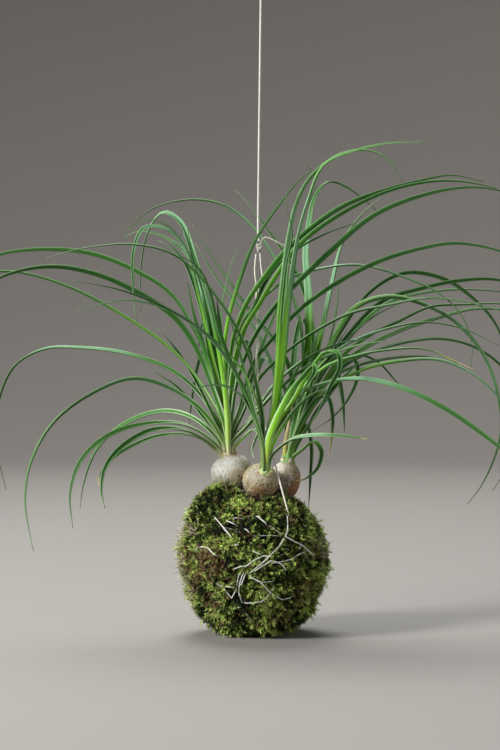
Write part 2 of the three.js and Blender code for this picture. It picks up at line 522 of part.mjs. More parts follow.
// Every leaf with its plant, width, roll about its spine and bent spine
function growLeaves() {
  const leaves = Object.entries(LEAVES).flatMap(([plant, rows]) => rows.map((row, i) => {
    const spine = leafSpine(CROWNS[plant], row);
    const heading = spine.at(-1).x < spine[0].x ? -1 : 1;
    return { plant, width: 1.12 * row[0], roll: heading * (0.55 + 0.35 * Math.sin(2.4 * i)), spine };
  }));
  const lines = [[FRONT_STRAND, STRAND], [BACK_STRAND, STRAND], [HANGING_LINE, 3 * LINE], [TAIL, STRAND]];
  const strings = lines.map(([route, width]) => ({ plant: 'string', width, spine: route.map(vec) }));
  const balls = Object.values(BULBS).map(({ centre, outline }) => (
    { centre: vec(centre), radius: outline[5][0] + 1.2 }));
  balls.push({ centre: vec([0, 0, BALL_Z]), radius: MOSS_RADIUS + 5 });
  bendClear(leaves, strings, balls);
  return leaves;
}

function leavesOf(plant, leaves) {
  const own = leaves.filter((leaf) => leaf.plant === plant);
  return mainBody(union([crownSolid(CROWNS[plant]), ...own.map(leafSolid)]));
}

// The soil, with a plain socket for each bulb and its roots
function soilSolid(sockets) {
  return mainBody(solidOf(lumpyBall(SOIL_DETAIL, soilRadius)).subtract(sockets));
}

// The moss: a tufted shell, open where the bulbs stand, flat where it rests, holed where strings go in
function mossSolid(sockets) {
  const outer = solidOf(lumpyBall(MOSS_DETAIL, (dir) => mossRadius(dir) + tuft(dir)));
  const hollow = solidOf(lumpyBall(SOIL_DETAIL, (dir) => soilRadius(dir) + GAP));
  const { x, y, halfX, halfY, floorZ, topZ } = OPENING;
  const mouth = new THREE.CylinderGeometry(1.04, 0.86, topZ - floorZ, 16).rotateX(Math.PI / 2)
    .scale(halfX, halfY, 1).translate(x, y, (topZ + floorZ) / 2);
  const below = new THREE.BoxGeometry(160, 160, 40).translate(0, 0, -20);
  const holes = [FRONT_STRAND, BACK_STRAND].map((route) => (
    solidOf(tube(route.slice(0, 3), STRAND + 2 * GAP + 0.2, 6))));
  return mainBody(outer.subtract(union([hollow, solidOf(mouth), solidOf(below), sockets, ...holes])));
}

// A point of the winding: on the moss's broad form, raised to lie on its tufts
function windingPoint([turn, rise]) {
  const [az, el] = [THREE.MathUtils.degToRad(turn), THREE.MathUtils.degToRad(rise)];
  return new THREE.Vector3(Math.sin(az) * Math.cos(el), -Math.cos(az) * Math.cos(el), Math.sin(el));
}

const centreOfBall = vec([0, 0, BALL_Z]);

// The route of a winding between its marks, kept at one height over the moss
function windingRoute(marks, closed, steps) {
  const curve = new THREE.CatmullRomCurve3(marks.map(windingPoint), closed, 'centripetal');
  const count = closed ? steps : steps + 1;
  return Array.from({ length: count }, (_, i) => {
    const dir = curve.getPointAt(i / steps).normalize();
    return dir.clone().multiplyScalar(mossRadius(dir) + THREAD_HEIGHT).add(centreOfBall);
  });
}

function threadSolid() {
  const loops = LOOPS.map((marks) => (
    solidOf(ringTube(windingRoute(marks, true, LOOP_STEPS), THREAD, LOOP_STEPS, 3, centreOfBall))));
  const runOn = windingRoute(RUN_ON, false, 8).map((point) => point.toArray());
  return mainBody(union([...loops, solidOf(tube(runOn, THREAD, 8, 4))]));
}

function bead({ centre, half }) {
  return solidOf(new THREE.SphereGeometry(1, 8, 6).rotateX(Math.PI / 2).scale(...half).translate(...centre));
}

function lowerKnotSolid() {
  const { centre, ring, thickness } = LOWER_KNOT;
  return solidOf(new THREE.TorusGeometry(ring, thickness / 2, 6, 12).scale(1, 1, 1.8).translate(...centre));
}

const upperKnotSolid = () => union([...UPPER_KNOTS.map(bead), solidOf(tube(TAIL, STRAND, 8))]);

const loopSolid = () => union([bead(LOOP_KNOT),
  solidOf(ringTube(LOOP_TOP.map(vec), LINE, 12, 6, vec([5.4, 0, 500])))]);

const MATERIALS = {
  soil_core: [0x2a1c12, 0.95], moss_cover: [0x4c6b1f, 0.95], binding_thread: [0xece8dc, 0.8],
  bulb_left: [0xd3cdb9, 0.6], bulb_front: [0xc6b794, 0.6], bulb_right: [0xb98d5e, 0.65],
  leaves_left: [0x4f8a2c, 0.45], leaves_front: [0x6fae35, 0.45], leaves_right: [0x3f7a34, 0.45],
  strand_front: [0xf0ece2, 0.8], strand_back: [0xf0ece2, 0.8], hanging_line: [0xf4f1ea, 0.8],
  lower_knot: [0xf0ece2, 0.8], upper_knot: [0xf0ece2, 0.8], hanging_loop: [0xf4f1ea, 0.8],
};

function meshOf(name, geometry) {
  const [color, roughness] = MATERIALS[name];
  const mesh = new THREE.Mesh(geometry, new THREE.MeshStandardMaterial({ color, roughness, metalness: 0 }));
  mesh.name = name;
  return mesh;
}

function buildKokedama() {
  const group = new THREE.Group();
  const sockets = union(Object.keys(BULBS).map((name) => bulbSolid(name, GAP)));
  const leaves = growLeaves();
  const solids = {
    soil_core: soilSolid(sockets),
    moss_cover: mossSolid(sockets),
    binding_thread: threadSolid(),
    bulb_left: bulbSolid('left', 0),
    bulb_front: bulbSolid('front', 0),
    bulb_right: bulbSolid('right', 0),
    leaves_left: leavesOf('left', leaves),
    leaves_front: leavesOf('front', leaves),
    leaves_right: leavesOf('right', leaves),
    lower_knot: lowerKnotSolid(),
    upper_knot: upperKnotSolid(),
    hanging_loop: loopSolid(),
  };
  Object.entries(solids).forEach(([name, solid]) => group.add(meshOf(name, geometryOf(solid))));
  group.add(meshOf('strand_front', tube(FRONT_STRAND, STRAND, 32)));
  group.add(meshOf('strand_back', tube(BACK_STRAND, STRAND, 32)));
  group.add(meshOf('hanging_line', tube(HANGING_LINE, LINE, 20)));
  return group;
}

export default buildKokedama();
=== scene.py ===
"""A kokedama: three young bulb plants in a moss ball wound with thread, on a doubled string."""
import math

import bmesh
import bpy
import numpy as np
from bpy.props import FloatProperty, FloatVectorProperty, IntProperty, PointerProperty
from mathutils import Matrix, Vector, noise


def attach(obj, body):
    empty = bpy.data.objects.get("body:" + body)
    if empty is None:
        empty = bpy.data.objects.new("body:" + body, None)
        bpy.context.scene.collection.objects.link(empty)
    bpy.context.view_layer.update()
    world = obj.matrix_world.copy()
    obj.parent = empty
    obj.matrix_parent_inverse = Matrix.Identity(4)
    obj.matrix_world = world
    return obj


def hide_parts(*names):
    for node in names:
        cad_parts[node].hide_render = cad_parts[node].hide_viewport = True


bl_info = {
    "name": "Kokedama Moss Ball Plant",
    "version": (1, 0, 0),
    "blender": (4, 5, 0),
    "location": "View3D > Sidebar > Kokedama",
    "description": "Builds a moss ball plant with its bulbs, leaves, thread and hanging string",
    "category": "Add Mesh",
}

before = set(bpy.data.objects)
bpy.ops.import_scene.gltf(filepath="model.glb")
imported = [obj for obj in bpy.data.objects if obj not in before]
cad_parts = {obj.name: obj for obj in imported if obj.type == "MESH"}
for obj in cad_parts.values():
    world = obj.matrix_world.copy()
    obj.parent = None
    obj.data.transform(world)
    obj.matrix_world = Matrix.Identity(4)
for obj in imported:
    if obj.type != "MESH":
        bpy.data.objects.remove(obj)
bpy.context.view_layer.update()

# Measures are in millimetres, as in the frame, except where a comment gives another unit
MM = 0.001

# The camera, in metres: level, square to the ball, with a strip SEEN_HEIGHT high in view at the string
VIEW_X, VIEW_Z = -0.003, 0.193
LENS, SENSOR = 85, 36
SEEN_HEIGHT = 0.5625
VIEW_DISTANCE = SEEN_HEIGHT * LENS / SENSOR

# The height of the ball's centre, and the radii of its moss and of the soil inside
BALL_Z = 56
MOSS_RADIUS = 51.5
SOIL_RADIUS = 47.3

# Broad bulges of the moss: the way each one faces, the cosines between which it rises, and its height
BULGES = [
    ((-0.56, -0.08, 0.82), 0.86, 0.99, 8.5),
    ((-0.97, -0.1, 0.18), 0.86, 1, 2.2),
    ((0.99, 0, 0.05), 0.9, 1, 1.4),
    ((0, 0, -1), 0.3, 0.95, 6.6),
]
WAVE_HEIGHT = 0.5

# The mound of soil at the top, between two heights of a direction of length 1
MOUND_FROM, MOUND_TO, MOUND_HEIGHT = 0.8, 0.93, 3.4

# The ball's open top: the middle and the half widths of an oval, and how far inside it the moss ends
MOUTH_X, MOUTH_Y, MOUTH_HALF_X, MOUTH_HALF_Y = 5, -4, 27, 23
MOUTH_RIM = 0.12

# Each bulb's widest level and lean, and its outline as radius and height from that level
BULBS = {
    "left": {
        "centre": (-16.6, 7, 119.5), "lean": (-0.18, 0, 1),
        "outline": [(0, -22), (2.4, -21), (4.6, -16.5), (9, -13.4), (13.6, -9.2), (16, -3.2), (16.3, 1),
                    (15.1, 5.8), (11.6, 10.2), (7.6, 12.4), (5.4, 13.4), (0, 13.4)],
    },
    "front": {
        "centre": (5, -14, 114.4), "lean": (0.26, -0.74, 0.62),
        "outline": [(0, -19), (2.2, -18), (4, -14), (7.6, -11.2), (11.4, -7.8), (13.4, -2.6), (13.6, 1),
                    (12.4, 5.4), (9.4, 9.4), (6.2, 11.6), (4.4, 12.6), (0, 12.6)],
    },
    "right": {
        "centre": (23.6, 5, 114.6), "lean": (0.12, 0.06, 1),
        "outline": [(0, -20), (2, -19), (3.8, -15), (6.6, -12.8), (9.6, -9), (11, -3.6), (11.3, 1.4),
                    (10.6, 6), (8.8, 9.4), (6.4, 11.6), (4.2, 12.8), (0, 12.8)],
    },
}

# The stout roots under each bulb: how many, their radius, and their path as distances out and up
ROOTS, ROOT_RADIUS = 3, 1.2
ROOT_PATH = [(0, 3), (4, -6), (7, -15), (8, -24)]

# Where each plant's leaves leave its bulb, and how far up its middle they part in the frame
CROWNS = {
    "left": {"foot": (-19.1, 7, 133.3), "top": (-20.2, 7, 150)},
    "front": {"foot": (8.4, -23.7, 122.5), "top": (8.8, -27, 148)},
    "right": {"foot": (25.3, 5.9, 127.8), "top": (29, 7, 147)},
}
STUB_HEIGHT = 3

# Leaves: width, depth that the tip gains on the foot, with minus towards the viewer, and age from 0 for
# bright young ones to 1 for dark old ones, then x and z of each point that the blade passes
LEFT_LEAVES = [
    (2.2, -60, 0.8, -25, 134, -42, 147, -70, 148, -100, 135, -113, 123, -117, 114, -115, 109),
    (3.2, -85, 0.8, -26, 137, -50, 152, -75, 152.5, -97, 141, -111, 125, -114.5, 107, -112, 93),
    (3.2, -35, 0.85, -25, 139, -50, 156, -80, 157, -110, 147.5, -130, 129, -138, 104, -136, 78),
    (4, 70, 0.9, -25, 142, -45, 161, -68, 166.5, -97, 157, -118, 138, -128, 112, -130.5, 93),
    (3.6, -75, 0.75, -24, 145, -40, 168, -68, 186, -92, 191, -120, 181, -150, 159, -167, 130, -172, 100,
     -168, 72, -165.5, 61),
    (3.2, 60, 1, -23, 148, -38, 176, -60, 196, -95, 209.5, -130, 214, -158, 213, -180, 200, -192, 172,
     -192.5, 135, -186, 107),
    (3.6, 30, 0.55, -22, 155, -38, 186, -60, 212, -100, 240, -140, 260.5, -180, 271, -206, 268, -228, 250,
     -238, 226),
    (5.6, -60, 0.95, -22, 160, -30, 185, -43, 215, -60, 238, -90, 257.5, -120, 270, -150, 275,
     -180, 270.5, -205, 258, -222, 236),
    (4.2, 45, 0.85, -21.5, 160, -29, 192, -41, 222, -60, 253, -85, 270, -120, 284, -155, 287.5,
     -191, 283.5, -216, 272, -236, 250),
    (3, 80, 0.45, -21, 165, -29, 210, -39, 250, -49, 282, -66, 296, -86, 301, -98, 296),
    (3.4, -50, 0.45, -21.5, 165, -30, 205, -40, 250, -52, 290, -66, 303, -82, 304, -90, 288, -90.5, 255,
     -88, 232),
    (3.4, 62, 0.5, -21, 165, -27, 205, -36, 250, -45, 282, -55, 308, -68, 315.5, -79, 303, -85, 275,
     -85, 240),
    (2.4, -30, 0.5, -21, 168, -28, 215, -38, 255, -50, 287, -65, 305, -80, 309.5, -92, 304, -98, 296),
    (4.4, 20, 0.35, -22, 165, -32, 210, -38, 240, -45, 262, -52, 278, -62, 289, -72, 294),
    (3.6, -80, 0.2, -20, 165, -25, 205, -32, 240, -40, 268, -47, 290, -50, 304),
    (2.2, 45, 0.35, -20.5, 170, -26, 215, -36, 255, -46, 280, -53, 299),
    (2, 30, 0.15, -20, 170, -24, 210, -25, 232, -23, 252, -18, 273, -13, 288),
    (1.9, -60, 0.3, -20, 170, -22.5, 210, -19, 236, -12, 260, 0, 292, 17, 318, 35, 340, 44, 347, 38, 349),
    (3.5, -34, 0.6, -19.6, 160, -19, 195, -16, 220, -6, 246, 8, 267, 20, 282, 36, 298, 65, 319, 95, 331,
     125, 339, 148, 343, 172, 338),
    (3.5, -44, 0.5, -19, 155, -16.5, 195, -8, 226, 4, 246, 15, 265, 34, 291, 60, 311, 100, 331, 140, 339,
     175, 335, 206, 322),
    (2.8, -26, 0.5, -18.8, 155, -16, 200, -9, 233, 5, 250, 24, 265, 50, 273.5, 80, 276, 110, 268,
     140, 254, 157, 236, 164, 213, 162, 197),
    (3.9, -52, 0.9, -18.6, 150, -14, 185, -3, 216, 12, 240, 28, 258, 55, 284, 90, 313, 130, 329, 165, 334,
     200, 328),
    (3.3, -40, 0.95, -18, 146, -12, 168, 0, 203, 13, 219.5, 35, 243, 65, 264, 95, 279, 125, 288, 151, 292,
     185, 286, 216, 272),
    (3.2, -30, 0.95, -17.6, 144, -10, 162, 4, 191, 25, 212, 48, 228, 72, 240, 100, 246, 130, 251,
     160, 248, 192, 239),
    (3.4, -22, 0.85, -17, 143, -8, 158, 6, 179, 25, 196, 44, 209, 65, 217.5, 89, 220.5),
    (3.6, -46, 0.85, -16.4, 142, -6, 155, 7, 173, 22, 187, 40, 200.5, 60, 210, 80, 216, 100, 219),
    (2.4, -16, 0.6, -18, 160, -13, 205, 0, 247, 14, 272, 34, 288.5, 55, 299.5, 76, 307),
    (2.4, -12, 0.3, -15, 139, -8, 147, -1, 152.5, 3, 150, 1, 144, -1, 138, 0, 130.5),
    (4, 135, 0.9, -22, 158, -27, 185, -33, 206, -38, 213, -42, 203, -46, 180, -49, 155),
    (3.6, 150, 0.9, -21, 165, -24, 205, -28, 235, -33, 246, -38, 236, -43, 205),
    (3.6, 110, 0.9, -19, 160, -16, 190, -12, 212, -7, 220, -3, 210, 0, 185),
]
FRONT_LEAVES = [
    (5, -30, 0.1, 9, 140, 13, 170, 16.5, 200, 18, 240, 21, 270, 25, 297, 31, 322, 42, 342, 65, 359.5,
     86, 362, 100, 356, 112, 337),
    (4.2, -62, 0.05, 10, 142, 16, 178, 21, 220, 25, 255, 31, 293, 39, 322, 52, 351, 80, 363, 105, 367.5,
     129, 368),
    (3.2, -14, 0.3, 10.5, 142, 17, 172, 22, 205, 25.5, 240, 30.5, 280, 36, 310, 43, 326, 48, 336),
    (2.2, -45, 0.15, 9.5, 145, 14.5, 170, 18, 205, 20.5, 240, 24, 275, 28.5, 300, 25, 316, 23.5, 327),
    (3, -80, 0.95, 7.5, 142, 8, 158, 4.5, 180, -2, 204, -11, 226, -28, 253, -58, 283, -90, 291.5,
     -130, 288, -155, 281),
    (3.4, -58, 0.95, 6.4, 138, 2, 157, -9, 185, -19, 207, -27, 230, -33, 255, -42, 274, -58, 284),
    (1.8, -42, 0.5, 7, 142, 3, 172, -8, 196, -28, 218, -60, 240, -92, 249, -120, 245, -132, 241),
    (2.6, -100, 0.8, 7, 140, 0, 165, -12, 192, -34, 222, -65, 243, -100, 257, -135, 264),
    (2, -34, 0.7, 6.6, 139, 1, 158, -10, 178, -22, 185, -38, 184.5, -50, 178),
    (5, -45, 0.05, 11, 143, 17, 160, 27, 180, 37, 193, 45, 201, 46, 196, 41, 188, 35, 178),
    (3.6, -48, 0.1, 11, 139, 18, 157, 30, 176, 42, 197, 54, 211, 63, 210, 64.5, 199, 58, 186, 51, 171,
     43, 156),
    (3.5, -66, 0.7, 11.5, 137, 20, 158, 34, 179, 55, 188.5, 82, 190.5, 110, 184, 140, 170, 170, 150,
     197, 127, 213, 100, 218, 80),
    (3.2, -38, 0.4, 11, 138, 18, 156, 34, 181, 52, 199, 74, 207.5, 100, 212.5, 128, 213, 148, 205,
     167, 196),
    (4.6, -24, 0.3, 12, 138, 18, 151, 28, 165, 38, 175, 48, 181, 58, 183),
    (3.2, -30, 0.95, 12, 132, 18, 138.5, 28, 145.5, 45, 148.3, 65, 147.5, 86, 145),
]
RIGHT_LEAVES = [
    (5, 62, 0.5, 30, 150, 38, 190, 41, 225, 40.5, 255, 38.5, 285, 41, 307, 46, 328, 56, 338.5, 68, 335,
     87, 321, 92, 316),
    (3.2, 74, 0.8, 29, 150, 37, 195, 36, 228, 29, 255, 17, 280, 0, 304, -20, 320, -45, 325, -75, 318.5,
     -95, 302, -99, 294),
    (3.2, 100, 0.6, 30, 152, 42, 195, 44, 225, 39, 252, 28, 277, 14, 297, -2, 319, -13, 331),
    (3.5, 92, 0.9, 28, 152, 30, 182, 22, 210, 8, 229, -5, 245, -20, 266, -33, 285, -46, 305),
    (3.3, 112, 0.95, 27, 150, 25, 178, 12, 206, 2, 226, -12, 246, -28, 266, -44, 292),
    (4.4, 26, 0.45, 30, 148, 42, 185, 50, 225, 58, 262, 65, 290, 74, 306, 85, 318, 97, 327),
    (2, 48, 0.5, 30, 148, 46, 190, 58, 225, 62.5, 250, 63, 272, 62, 285),
    (5.4, 34, 0.65, 31, 150, 44, 185, 58, 218, 75, 244, 100, 253, 126, 248, 153, 233, 174, 207, 185, 172,
     185, 145, 172, 112, 160, 96),
    (3.2, 92, 0.95, 30, 150, 48, 195, 66, 228, 86, 255, 112, 269.5, 140, 266, 160, 254, 180, 233,
     193, 200),
    (3.6, -28, 0.9, 27, 136, 31, 148, 38, 163, 49, 177, 55, 177, 59, 163, 58.5, 148, 56, 132),
    (3.2, -18, 0.85, 29, 142, 38, 168, 51, 197, 64, 208, 75, 205.5, 78, 194, 72, 177, 60, 162, 44, 151),
    (4.2, 40, 0.95, 30, 143, 42, 170, 60, 195, 77, 208.5, 92, 204, 107, 188, 113, 182),
    (3.6, 24, 0.65, 30, 146, 44, 175, 60, 193, 78, 201, 105, 206.5, 130, 207, 152, 202),
    (4, -30, 0.45, 29.5, 140, 40, 164, 56, 184, 80, 197.5, 110, 204.5, 140, 205, 165, 194, 184, 176,
     197, 146),
    (3.4, 70, 0.95, 30, 146, 46, 178, 70, 202, 100, 215, 140, 221, 170, 212.5, 193, 191, 200, 160,
     192, 128, 179, 106),
    (3.8, 50, 0.6, 31, 145, 44, 172, 60, 196, 80, 212, 110, 227, 140, 237, 170, 243.5, 205, 237,
     236, 212),
    (3, -12, 0.55, 29.5, 144, 36, 172, 50, 201, 70, 217, 100, 228.5, 130, 233, 157, 228, 184, 215),
    (3.8, 10, 0.55, 31, 144, 44, 174, 62, 204, 87, 224, 110, 235, 132, 245, 158, 246.5, 190, 246,
     216, 233),
    (3.6, 78, 0.85, 30, 148, 46, 190, 67, 220, 95, 248, 125, 258, 155, 264, 185, 264, 226, 247),
    (2.8, 112, 0.85, 30, 148, 48, 188, 72, 222, 100, 247, 130, 255.5, 165, 257.5, 196, 253, 222, 238),
    (2.4, 56, 0.85, 29.5, 146, 44, 182, 66, 216, 90, 237, 110, 247, 122, 250.5),
    (4.6, 8, 1, 27.4, 138, 29, 148, 31.5, 158, 33, 166),
    (1.8, -10, 1, 23.6, 135, 24.4, 146, 26.6, 159, 29, 171),
    (3.4, 14, 0.6, 29, 138, 34, 151, 40, 156, 43.5, 141, 42.6, 118, 41, 94),
    (2.4, -16, 0.55, 28, 131.5, 36, 138, 45, 143.5, 50.5, 136, 47.5, 123, 38, 115, 31, 113.5),
    (2, 12, 0.9, 29, 132.5, 35, 137, 41, 142),
    (4.2, 128, 0.9, 30, 150, 38, 180, 46, 202, 54, 210, 60, 202, 66, 178, 68, 150),
    (3.8, 150, 0.9, 27, 150, 29, 190, 32, 222, 36, 236, 40, 228, 45, 200),
    (3.6, 120, 0.9, 25.5, 148, 20, 178, 14, 198, 8, 206, 3, 197, 0, 172),
]
LEAVES = {"left": LEFT_LEAVES, "front": FRONT_LEAVES, "right": RIGHT_LEAVES}

# Leaves with a stretch of painted reflection, a bluish sheen of the sky, by their place in the table, and
# the share of their length where it starts. The value for leaves without it lies past the tip.
SKY_SHEEN = {
    "left": {4: 0.12, 5: 0.3, 9: 0.42, 10: 0.44, 11: 0.44, 12: 0.42, 13: 0.42, 14: 0.5, 20: 0.3, 24: 0.3},
    "front": {0: 0.33, 1: 0.33, 2: 0.4, 7: 0.3, 8: 0.3, 11: 0.15, 14: 0.3},
    "right": {0: 0.35, 1: 0.35, 4: 0.3, 5: 0.42, 7: 0.42, 13: 0.5, 16: 0.3},
}
NO_SHEEN = 1.5

# Leaves that are dry at the tip by more than a touch, by plant and place, and the share that is dry
DRY_TIPS = {
    ("left", 0): 0.06, ("left", 22): 0.03, ("front", 12): 0.1, ("front", 14): 0.05, ("right", 9): 0.14,
    ("right", 10): 0.07, ("right", 22): 0.95, ("right", 24): 0.08,
}

# How the leaves of different plants are kept clear of each other, as in the frame
LEAF_STEPS, LEAF_FINENESS = 9, 200
BEND = {"rounds": 80, "own": 0.7, "next": 0.3, "side": 0.3, "share": 0.55, "fixed": 2, "spread": 0.62,
        "room": 1.3, "bulb_room": 1.2, "ball_room": 5, "string_width": 1, "line_width": 4.8}

# Where the points of the tables are seen from: x, z and distance
FRAME_VIEW = (-3, 193, 1320)

# String routes in metres. The front and back strands rise from the ball, pair up, pass the lower knot and
# part again round the small eye below the upper knot. The line carries on to the loop it hangs by.
STRAND, LINE, THREAD = 0.001, 0.0016, 0.0008
FRONT_STRAND = [
    (0.0258, -0.0336, 0.0876), (0.025, -0.0323, 0.0915), (0.0193, -0.0242, 0.113),
    (0.0136, -0.0161, 0.135), (0.0079, -0.008, 0.157), (0.0036, -0.0019, 0.174), (0.0027, -0.0008, 0.184),
    (0.0029, 0, 0.194), (0.0022, 0.0008, 0.206), (0.0017, 0, 0.218), (0.0023, -0.0008, 0.23),
    (0.0032, 0, 0.242), (0.0033, 0.0003, 0.252), (0.0036, 0.0001, 0.259), (0.0046, 0, 0.263),
    (0.0062, 0, 0.267), (0.0056, 0, 0.272), (0.005, 0, 0.278), (0.0046, 0, 0.2848)]
BACK_STRAND = [
    (-0.0105, 0.0416, 0.0884), (-0.01, 0.04, 0.0922), (-0.0072, 0.031, 0.113), (-0.0042, 0.0214, 0.135),
    (-0.0012, 0.0119, 0.157), (0.001, 0.0044, 0.1745), (0.0015, 0.0011, 0.1845), (0.0012, 0.0001, 0.194),
    (0.0017, -0.0008, 0.206), (0.0033, 0, 0.218), (0.0026, 0.0009, 0.23), (0.0016, 0, 0.242),
    (0.0017, -0.0003, 0.252), (0.0022, -0.0001, 0.259), (0.0013, 0, 0.264), (0.0007, 0, 0.27),
    (0.0009, 0, 0.277), (0.0016, 0, 0.2837)]
HANGING_LINE = [
    (0.0037, 0, 0.2934), (0.0033, 0, 0.297), (0.0031, 0, 0.304), (0.0032, 0, 0.322), (0.0035, 0, 0.344),
    (0.0038, 0, 0.37), (0.0042, 0, 0.4), (0.0047, 0, 0.44), (0.0051, 0, 0.47), (0.0054, 0, 0.4875)]
TAIL = [
    (0.0049, 0, 0.2905), (0.0062, -0.0003, 0.2944), (0.0085, -0.0005, 0.2961), (0.014, -0.001, 0.2944),
    (0.02, -0.0014, 0.2912), (0.024, -0.0012, 0.2894), (0.028, -0.0006, 0.288)]
LOOP_TOP = [
    (0.0054, 0, 0.49), (0.0093, 0, 0.497), (0.0087, 0, 0.505), (0.0054, 0, 0.5085), (0.0021, 0, 0.505),
    (0.0015, 0, 0.497)]
STRAND_EXIT_FRONT, STRAND_EXIT_BACK = (0.025, -0.0323, 0.0915), (-0.01, 0.04, 0.0922)

# Lengths of the strands and the line, and the way along them in which their yarns turn once, in metres
THREAD_PITCH, STRAND_PITCH, KNOT_PITCH, LINE_PITCH = 0.003, 0.0034, 0.0042, 0.0046

# Thread loops round the ball: degrees to the right of the front and above the middle for each point
LOOPS = [
    (-42, 36, -26, 25, -17, 14, -2, 6, 7, 2, 27, -10, 51, -20, 90, -32, 135, -38, 180, -25, 225, 0,
     270, 20),
    (-57, 4, -46, 8, -38, 8, -30, 1, -17, -9, -6, -6, 7, 2, 17, 1, 43, 3, 90, 12, 135, 8, 180, -4,
     225, -8, 270, -2),
    (-28, 31, -15, 27, -2, 18, 12, 17, 27, 16, 37, 12, 49, 5, 60, -3, 90, -18, 130, -28, 180, -20, 230, 0,
     270, 18, 305, 29),
    (-30, 40, 1, 37, 12, 27, 23, 21, 40, 12, 60, 0, 100, -15, 150, -25, 200, -15, 250, 10, 290, 30),
    (31, 12, 18, 4, 4, -8, -5, -15, -11, -23, -14, -32, -16, -45, -40, -56, -80, -57, -120, -54,
     -160, -40, -190, -20, -210, 5, -240, 25, -270, 34, -300, 28),
    (-17, 11, -8, 9, 3, 8, 12, 10, 27, 16, 48, 28, 80, 36, 120, 35, 160, 25, 200, 5, 240, -8, 275, -6,
     310, 4),
    (-13, -38, -9, -24, -1, -12, 9, -5, 17, -4, 23, -6, 29, -12, 45, -30, 70, -44, 110, -51, 150, -50,
     190, -45, 230, -48, 280, -54, 320, -50),
]

# How far the loops follow the moss's lumps, lie sunk in it, and rise out of it behind the ball
LOOP_SAG, LOOP_SUNK, LOOP_RISE = 1.9, 2.1, 3.7

# How high the thread lies on the moss in front, how thick it looks there, and how deep its ends dive
THREAD_HEIGHT, SHOWN_SWELL, END_DIVE = 3.3, 1.2, 2.4

# Parts of the winding that show between the moss: share of the full thickness, then x and z of each point
# as seen from the front
SHOWING = [
    (0.8, -30.5, 87.4, -23.5, 79.5, -16.3, 70.7),
    (0.7, -22.4, 84.5, -17, 82.2, -13, 80.9),
    (0.8, -7.7, 78.8, -5, 76.3, -2.4, 73.5),
    (0.95, 0.8, 88.6, 5.5, 84.6, 10.6, 80.9),
    (0.4, 10.6, 80.9, 17, 76.2, 22.4, 72.6),
    (1.5, -15.8, 65.4, -11.4, 66.2),
    (1.0, -45.5, 58.9, -42.7, 63.4, -39, 64.2, -35.3, 63.8, -31.5, 60, -27.2, 56.5),
    (0.9, -16.7, 46.7, -10, 49.5, -6.1, 49.5, 0, 54, 6.9, 57.3, 14.5, 56.6),
    (0.75, -2, 61.7, 2.5, 59.4, 6.9, 57.3),
    (1.0, 23.6, 72, 18.3, 63.8, 12, 57.6, 4, 50, -4.5, 43.5),
    (0.9, -1.5, 44.5, 4.5, 48.5, 12.5, 53.6, 17.1, 52.8, 21.2, 50.8, 24.8, 45.5),
    (0.9, -4.5, 42.2, 4.9, 37.7, 12.6, 29.3, 21.2, 24.4, 29.7, 26.8),
    (0.4, 0.5, 38.2, 8, 37.6, 16.7, 38.6),
    (0.5, 15.5, 35.3, 12.6, 29.3),
    (0.95, 12.6, 29.3, 8.2, 24.8, 4.5, 22.7, -2.5, 22, -9, 21.9),
    (0.7, -29.3, 36.5, -24, 34.5, -18, 34, -13, 32.9),
    (0.7, -24, 34.5, -20.4, 30, -16.7, 25.6, -13, 32.9),
    (0.8, -13, 32.9, -9.3, 36.2, -6.1, 44.7),
    (0.55, -11.4, 29.5, -9.5, 24, -8.2, 20),
    (0.6, -14, 19.5, -11, 18, -9, 17.6),
    (0.6, -31.4, 23.2, -26.7, 21.9),
    (0.95, 24.8, 89, 25.2, 82.5, 25.2, 76, 23.6, 72, 30, 68.3, 36.2, 65.4, 41.5, 60.8, 46, 56.5),
    (0.5, 43.1, 62.3, 34.5, 58.9, 27.2, 54.5, 18, 52.4, 10.5, 51.6),
    (0.3, -2, 72, 8, 72.6, 20, 72.3),
    (0.5, 36.2, 68.6, 34.2, 61.4),
    (0.8, 37.5, 81.8, 40.5, 78.2),
    (0.65, -9, 46.5, -11.5, 43, -12.5, 38, -13.5, 33),
    (0.7, -7, 46, -9, 42, -11, 36, -11.4, 30, -10.6, 25),
    (0.35, -7, 16, -4, 11, 1, 6),
    (0.8, 13.5, 6.5, 15.5, 5),
]

# Places seen on the front of the ball: brown patches with their reach in radians and strength, dark
# hollows with their reach, sprigs that break the outline, wisps of pale straw and rust-coloured flakes
BROWN_PATCHES = [
    (-36, 53, 0.33, 0.9), (-47, 40, 0.3, 0.7), (-32, 22, 0.25, 0.5), (-52, 62, 0.2, 0.6),
    (46, 64, 0.25, 0.55), (38, 30, 0.3, 0.55), (22, 12, 0.3, 0.5), (3, 100, 0.15, 0.6),
    (-8, 88, 0.16, 0.45), (14, 76, 0.14, 0.4),
]
HOLLOWS = [
    (25, 58, 0.15), (-21, 54, 0.13), (2, 99, 0.13), (-36, 50, 0.13), (-18, 33, 0.1), (9, 88, 0.08),
    (34, 42, 0.1),
]
SPRIGS = [
    (-54, 88), (-56, 90), (-58, 66), (-60, 62), (-52, 35), (-24, 2), (-18, 1), (12, 1), (15, 2), (43, 17),
    (41, 14), (-38, 92), (50, 74), (52, 66), (-50, 30), (55, 44), (54, 38), (49, 22), (-47, 84), (47, 84),
]
WISPS = [
    (-58, 84), (-57, 76), (-58, 66), (-57, 60), (-55, 54), (-54, 49), (-52, 43), (-50, 36), (-47, 29),
    (50, 66), (53, 58), (-46, 76), (-59, 72), (-56, 48),
]
WISP_COUNT = 24
FLAKES = [(-8, 92), (-11, 77), (-8, 34), (30, 87), (39, 40), (-30, 50), (14, 66), (-2, 101)]

